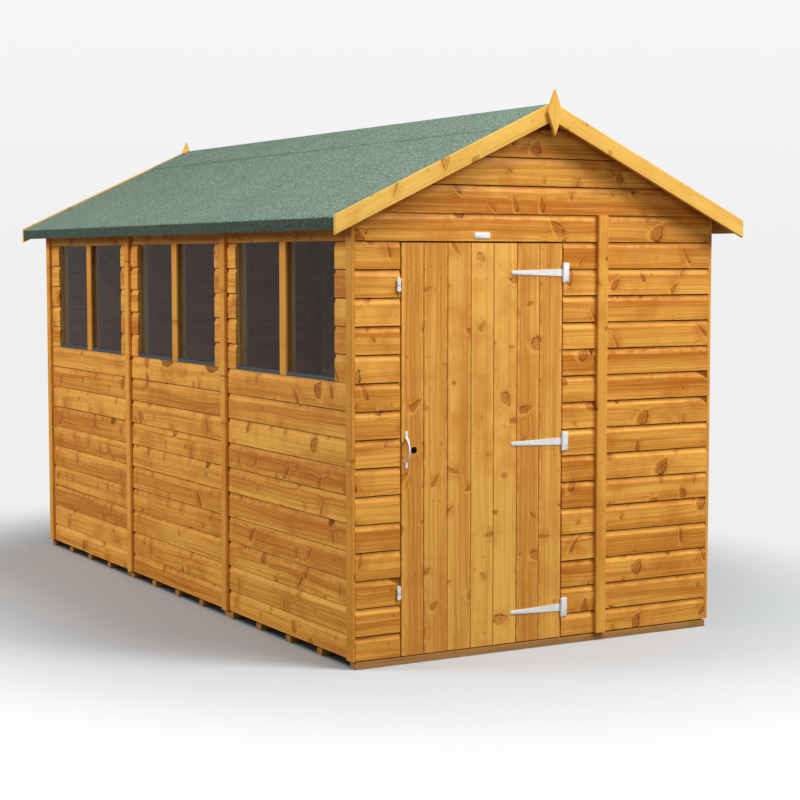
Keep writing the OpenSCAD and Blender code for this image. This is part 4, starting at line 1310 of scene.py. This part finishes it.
handle_low, handle_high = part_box("door_handle")
x_mid = (handle_low[0] + handle_high[0]) / 2
z_mid, half = (handle_low[2] + handle_high[2]) / 2, (handle_high[2] - handle_low[2]) / 2
wall_y, bow_y = handle_high[1], handle_low[1]
bar_line = []
for k in range(-20, 21):
    share = abs(k) / 20
    z = z_mid + half * k / 20
    rise = max(0.0, 1 - (share / 0.62) ** 2) ** 0.62
    bar_line.append((z, rise, share))
handle = Stack(141)
outline = [(math.cos(t), math.sin(t)) for t in [2 * math.pi * (k + 0.5) / 16 for k in range(16)]]
first = len(handle.verts)
for z, rise, share in bar_line:
    wide = 0.0065 if share > 0.6 else 0.0065 - 0.0026 * min(1.0, (0.62 - share) / 0.2)
    deep = 0.0016 + 0.0014 * (1 if share < 0.55 else max(0.0, (0.65 - share) / 0.1))
    end = 0.55 if share > 0.99 else 1.0
    middle_y = wall_y - deep - (wall_y - bow_y - 2 * deep) * rise
    for c, s in outline:
        squared = (abs(c) ** 0.55 * math.copysign(1, c), abs(s) ** 0.55 * math.copysign(1, s))
        handle.verts.append((x_mid + wide * end * squared[0], middle_y + deep * squared[1], z))
        handle.grain.append((z, c, s))
        handle.tone.append(0.5)
        handle.edge.append(0.0)
for i in range(len(bar_line) - 1):
    for k in range(16):
        here, after = first + i * 16 + k, first + i * 16 + (k + 1) % 16
        handle.faces.append((here, after, after + 16, here + 16))
handle.faces.append(tuple(range(first + 15, first - 1, -1)))
handle.faces.append(tuple(range(first + 40 * 16, first + 41 * 16)))
handle.piece("pull_handle", plated, "white_steel", "door", "door_handle", rough=50)
handle_screws = Heads()
for end in (-1, 1):
    middle = (x_mid, wall_y - 0.003, z_mid + end * half * 0.8)
    handle_screws.add(middle, (1, 0, 0), (0, 0, 1), (0, -1, 0), 0.0034, 0.0013, 16)
handle_screws.piece("handle_screws", plated, "white_steel", "door")


# ---- Turn buttons ----
# Two small turn buttons keep the door shut: a waisted bar with round ends that turns on a bolt
# and a boss beside the door.

for name, node, body in (
    ("upper_catch", "upper_turn_button", "upper_button"),
    ("lower_catch", "lower_turn_button", "lower_button"),
):
    low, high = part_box(node)
    x, z = (low[0] + high[0]) / 2, (low[2] + high[2]) / 2
    radius, reach = (high[0] - low[0]) / 2, (high[2] - low[2]) / 2
    button = Stack(151)
    outline = []
    for side in (1, -1):
        for k in range(11):
            t = math.radians(-32 + 244 * k / 10) if side > 0 else math.radians(148 + 244 * k / 10)
            outline.append((x + radius * math.cos(t), z + side * (reach - radius) + radius * math.sin(t)))
    ring_count = 24
    first = len(button.verts)
    bore = 0.0031
    layers = ((0.0008, low[1]), (0.0, low[1] + 0.0007), (0.0, high[1] - 0.0004), (0.0006, high[1]))
    turns = [2 * math.pi * k / ring_count for k in range(ring_count)]

    def waisted(t):
        """How far the bar reaches from its bolt in the direction t."""
        c, s = abs(math.cos(t)), abs(math.sin(t))
        best = 0.0
        centre = reach - radius
        inside = radius * radius - (centre * c) ** 2
        if inside > 0:
            best = centre * s + math.sqrt(inside)
        waist = 0.7 * radius / max(c, 0.001)
        return max(best, min(waist, reach))

    for shrink, y in layers:
        for t in turns:
            r = waisted(t) - shrink
            button.verts.append((x + r * math.cos(t), y, z + r * math.sin(t)))
        for t in turns:
            button.verts.append((x + bore * math.cos(t), y, z + bore * math.sin(t)))
    size = 2 * ring_count
    button.grain = [(0.0, 0.0, 0.0)] * len(button.verts)
    button.tone = [0.5] * len(button.verts)
    button.edge = [0.0] * len(button.verts)
    for k in range(ring_count):
        j = (k + 1) % ring_count
        for i in range(3):
            a, b = i * size, (i + 1) * size
            button.faces.append((a + k, a + j, b + j, b + k))
            button.faces.append((a + ring_count + j, a + ring_count + k, b + ring_count + k, b + ring_count + j))
        button.faces.append((j, k, ring_count + k, ring_count + j))
        a = 3 * size
        button.faces.append((a + k, a + j, a + ring_count + j, a + ring_count + k))
    button.piece(name, plated, "white_steel", body, node, rough=40)

bolts = Stack(152)
for low, high in solids_of("turn_button_bolts"):
    x, z = (low[0] + high[0]) / 2, (low[2] + high[2]) / 2
    wall, tip = high[1], low[1]
    outline = [(0.0001, wall), (0.008, wall), (0.008, wall - 0.0044), (0.0074, wall - 0.005), (0.00295, wall - 0.005)]
    outline += [(0.00295, tip + 0.0021), (0.0046, tip + 0.0020), (0.005, tip + 0.0014), (0.0043, tip + 0.0003), (0.0018, tip), (0.0001, tip)]
    turns = [2 * math.pi * k / 24 for k in range(25)]
    bolts.lay(outline, [0.0] * 11, turns, lambda s, a, d: (x + a * math.cos(s), d, z + a * math.sin(s)), wander=0.0)
bolts.piece("catch_bolts", plated, "white_steel", "shed", "turn_button_bolts", rough=40)


# ---- Name plate ----
# A small white plastic plate pinned to the board over the door. It is left blank.

white_plastic = plain_finish("white_plate", stain(240, 241, 240), 0.35, 0.0, stain(222, 224, 224), 300.0, 0.5)
low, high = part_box("name_plate")
plate = Stack(161)
corner = 0.002
outline = []
for cx, cz, start in (
    (high[0] - corner, high[2] - corner, 0),
    (low[0] + corner, high[2] - corner, 90),
    (low[0] + corner, low[2] + corner, 180),
    (high[0] - corner, low[2] + corner, 270),
):
    for k in range(5):
        t = math.radians(start + 90 * k / 4)
        outline.append((cx + corner * math.cos(t), cz + corner * math.sin(t)))
pressed_plate(plate, outline, low[1], high[1], 0.0008)
plate.piece("blank_plate", white_plastic, "name_plate", "shed", "name_plate", rough=50)
pins = Heads()
for end in (-1, 1):
    pins.add(((low[0] + high[0]) / 2 + end * 0.031, low[1], (low[2] + high[2]) / 2), (1, 0, 0), (0, 0, 1), (0, -1, 0), 0.0016, 0.0006, 10)
pins.piece("plate_pins", plated, "name_plate", "shed")


# ---- Studio ----
# A pale floor that fades out into the pale backdrop, soft lights in front on the right, low in
# front on the left, at the back left and overhead in front, and the camera.

paper = bpy.data.materials.new("pale_sweep")
paper.use_nodes = True
tree = paper.node_tree
surface = tree.nodes["Principled BSDF"].inputs
where = put(tree, "TexCoord").outputs["Object"]
seen = put(tree, "LightPath").outputs["Is Camera Ray"]
pale = tint(tree, cloud(tree, where, 0.4, 2.0), stain(199, 205, 209), stain(201, 207, 211))
reach = put(tree, "VectorMath", {0: where, 1: (1.0, 0.8, 1.0)}, operation="MULTIPLY").outputs[0]
reach = put(tree, "VectorMath", {0: reach}, operation="LENGTH").outputs["Value"]
# Painted shade: the floor inside the shed's footprint is painted dark grey, fading out just beyond its walls.
painted_shade_under_shed = put(tree, "VectorMath", {0: where}, operation="ABSOLUTE").outputs[0]
painted_shade_under_shed = put(tree, "VectorMath", {0: painted_shade_under_shed, 1: (half_width, -front_face.face, 9.0)}, operation="SUBTRACT").outputs[0]
painted_shade_under_shed = put(tree, "SeparateXYZ", {0: painted_shade_under_shed}).outputs
painted_shade_under_shed = fade(tree, reckon(tree, "MAXIMUM", painted_shade_under_shed[0], painted_shade_under_shed[1]), 0.015, -0.03)
pale = tint(tree, painted_shade_under_shed, pale, stain(62, 62, 62))
tree.links.new(tint(tree, seen, stain(104, 104, 104), pale), surface["Base Color"])
beyond = put(tree, "BsdfTransparent")
fading = put(tree, "MixShader", {0: fade(tree, reach, 1.6, 2.85), 1: tree.nodes["Principled BSDF"].outputs[0], 2: beyond.outputs[0]})
tree.links.new(fading.outputs[0], tree.nodes["Material Output"].inputs["Surface"])
surface["Roughness"].default_value = 0.9
surface["Specular IOR Level"].default_value = 0.1
mesh = bpy.data.meshes.new("sweep")
mesh.from_pydata([(-80, -80, 0), (80, -80, 0), (80, 80, 0), (-80, 80, 0)], [], [(0, 1, 2, 3)])
mesh.materials.append(paper)
sweep = bpy.data.objects.new("sweep", mesh)
bpy.context.scene.collection.objects.link(sweep)

world = bpy.data.worlds.new("studio")
world.use_nodes = True
tree = world.node_tree
backdrop = tree.nodes["Background"]
room = put(tree, "Background", {"Color": (1, 1, 1, 1), "Strength": 0.2})
backdrop.inputs["Strength"].default_value = 1.0
lift = put(tree, "SeparateXYZ", {0: put(tree, "TexCoord").outputs["Generated"]}).outputs[2]
high = tint(tree, fade(tree, lift, -0.04, 0.15), stain(239, 239, 239), stain(246, 246, 246))
low = tint(tree, fade(tree, lift, -0.16, -0.25), high, stain(255, 255, 255))
tree.links.new(low, backdrop.inputs["Color"])
seen = put(tree, "LightPath").outputs["Is Camera Ray"]
both = put(tree, "MixShader", {0: seen, 1: room.outputs[0], 2: backdrop.outputs[0]})
tree.links.new(both.outputs[0], tree.nodes["World Output"].inputs[0])
bpy.context.scene.world = world
bpy.context.scene.view_settings.view_transform = "Standard"


def soft_light(name, place, aim, size, power):
    data = bpy.data.lights.new(name, "AREA")
    data.shape, data.size, data.energy = "DISK", size, power
    lamp = bpy.data.objects.new(name, data)
    bpy.context.scene.collection.objects.link(lamp)
    lamp.location = place
    lamp.visible_transmission = False
    to = [a - p for a, p in zip(aim, place)]
    flat = math.hypot(to[0], to[1])
    lamp.rotation_euler = (math.atan2(flat, -to[2]), 0.0, math.atan2(to[1], to[0]) - math.pi / 2)


soft_light("key", (5.5, -8.0, 7.5), (0.0, -1.0, 1.2), 3.5, 465)
soft_light("fill", (-3.0, -10.0, 3.6), (-0.5, -1.8, 1.0), 4.0, 100)
soft_light("side", (-8.4, 2.6, 4.6), (-0.8, 0.2, 1.0), 4.0, 510)
soft_light("overhead", (1.2, -4.4, 7.3), (0.0, -0.8, 0.8), 3.0, 360)

lens = bpy.data.cameras.new("camera")
lens.lens, lens.sensor_width = 81.27, 36.0
camera = bpy.data.objects.new("camera", lens)
bpy.context.scene.collection.objects.link(camera)
camera.location = (-4.1596, -7.9314, 1.6015)
camera.rotation_euler = (math.radians(85.549), 0.0, math.radians(-29.666))
bpy.context.scene.camera = camera
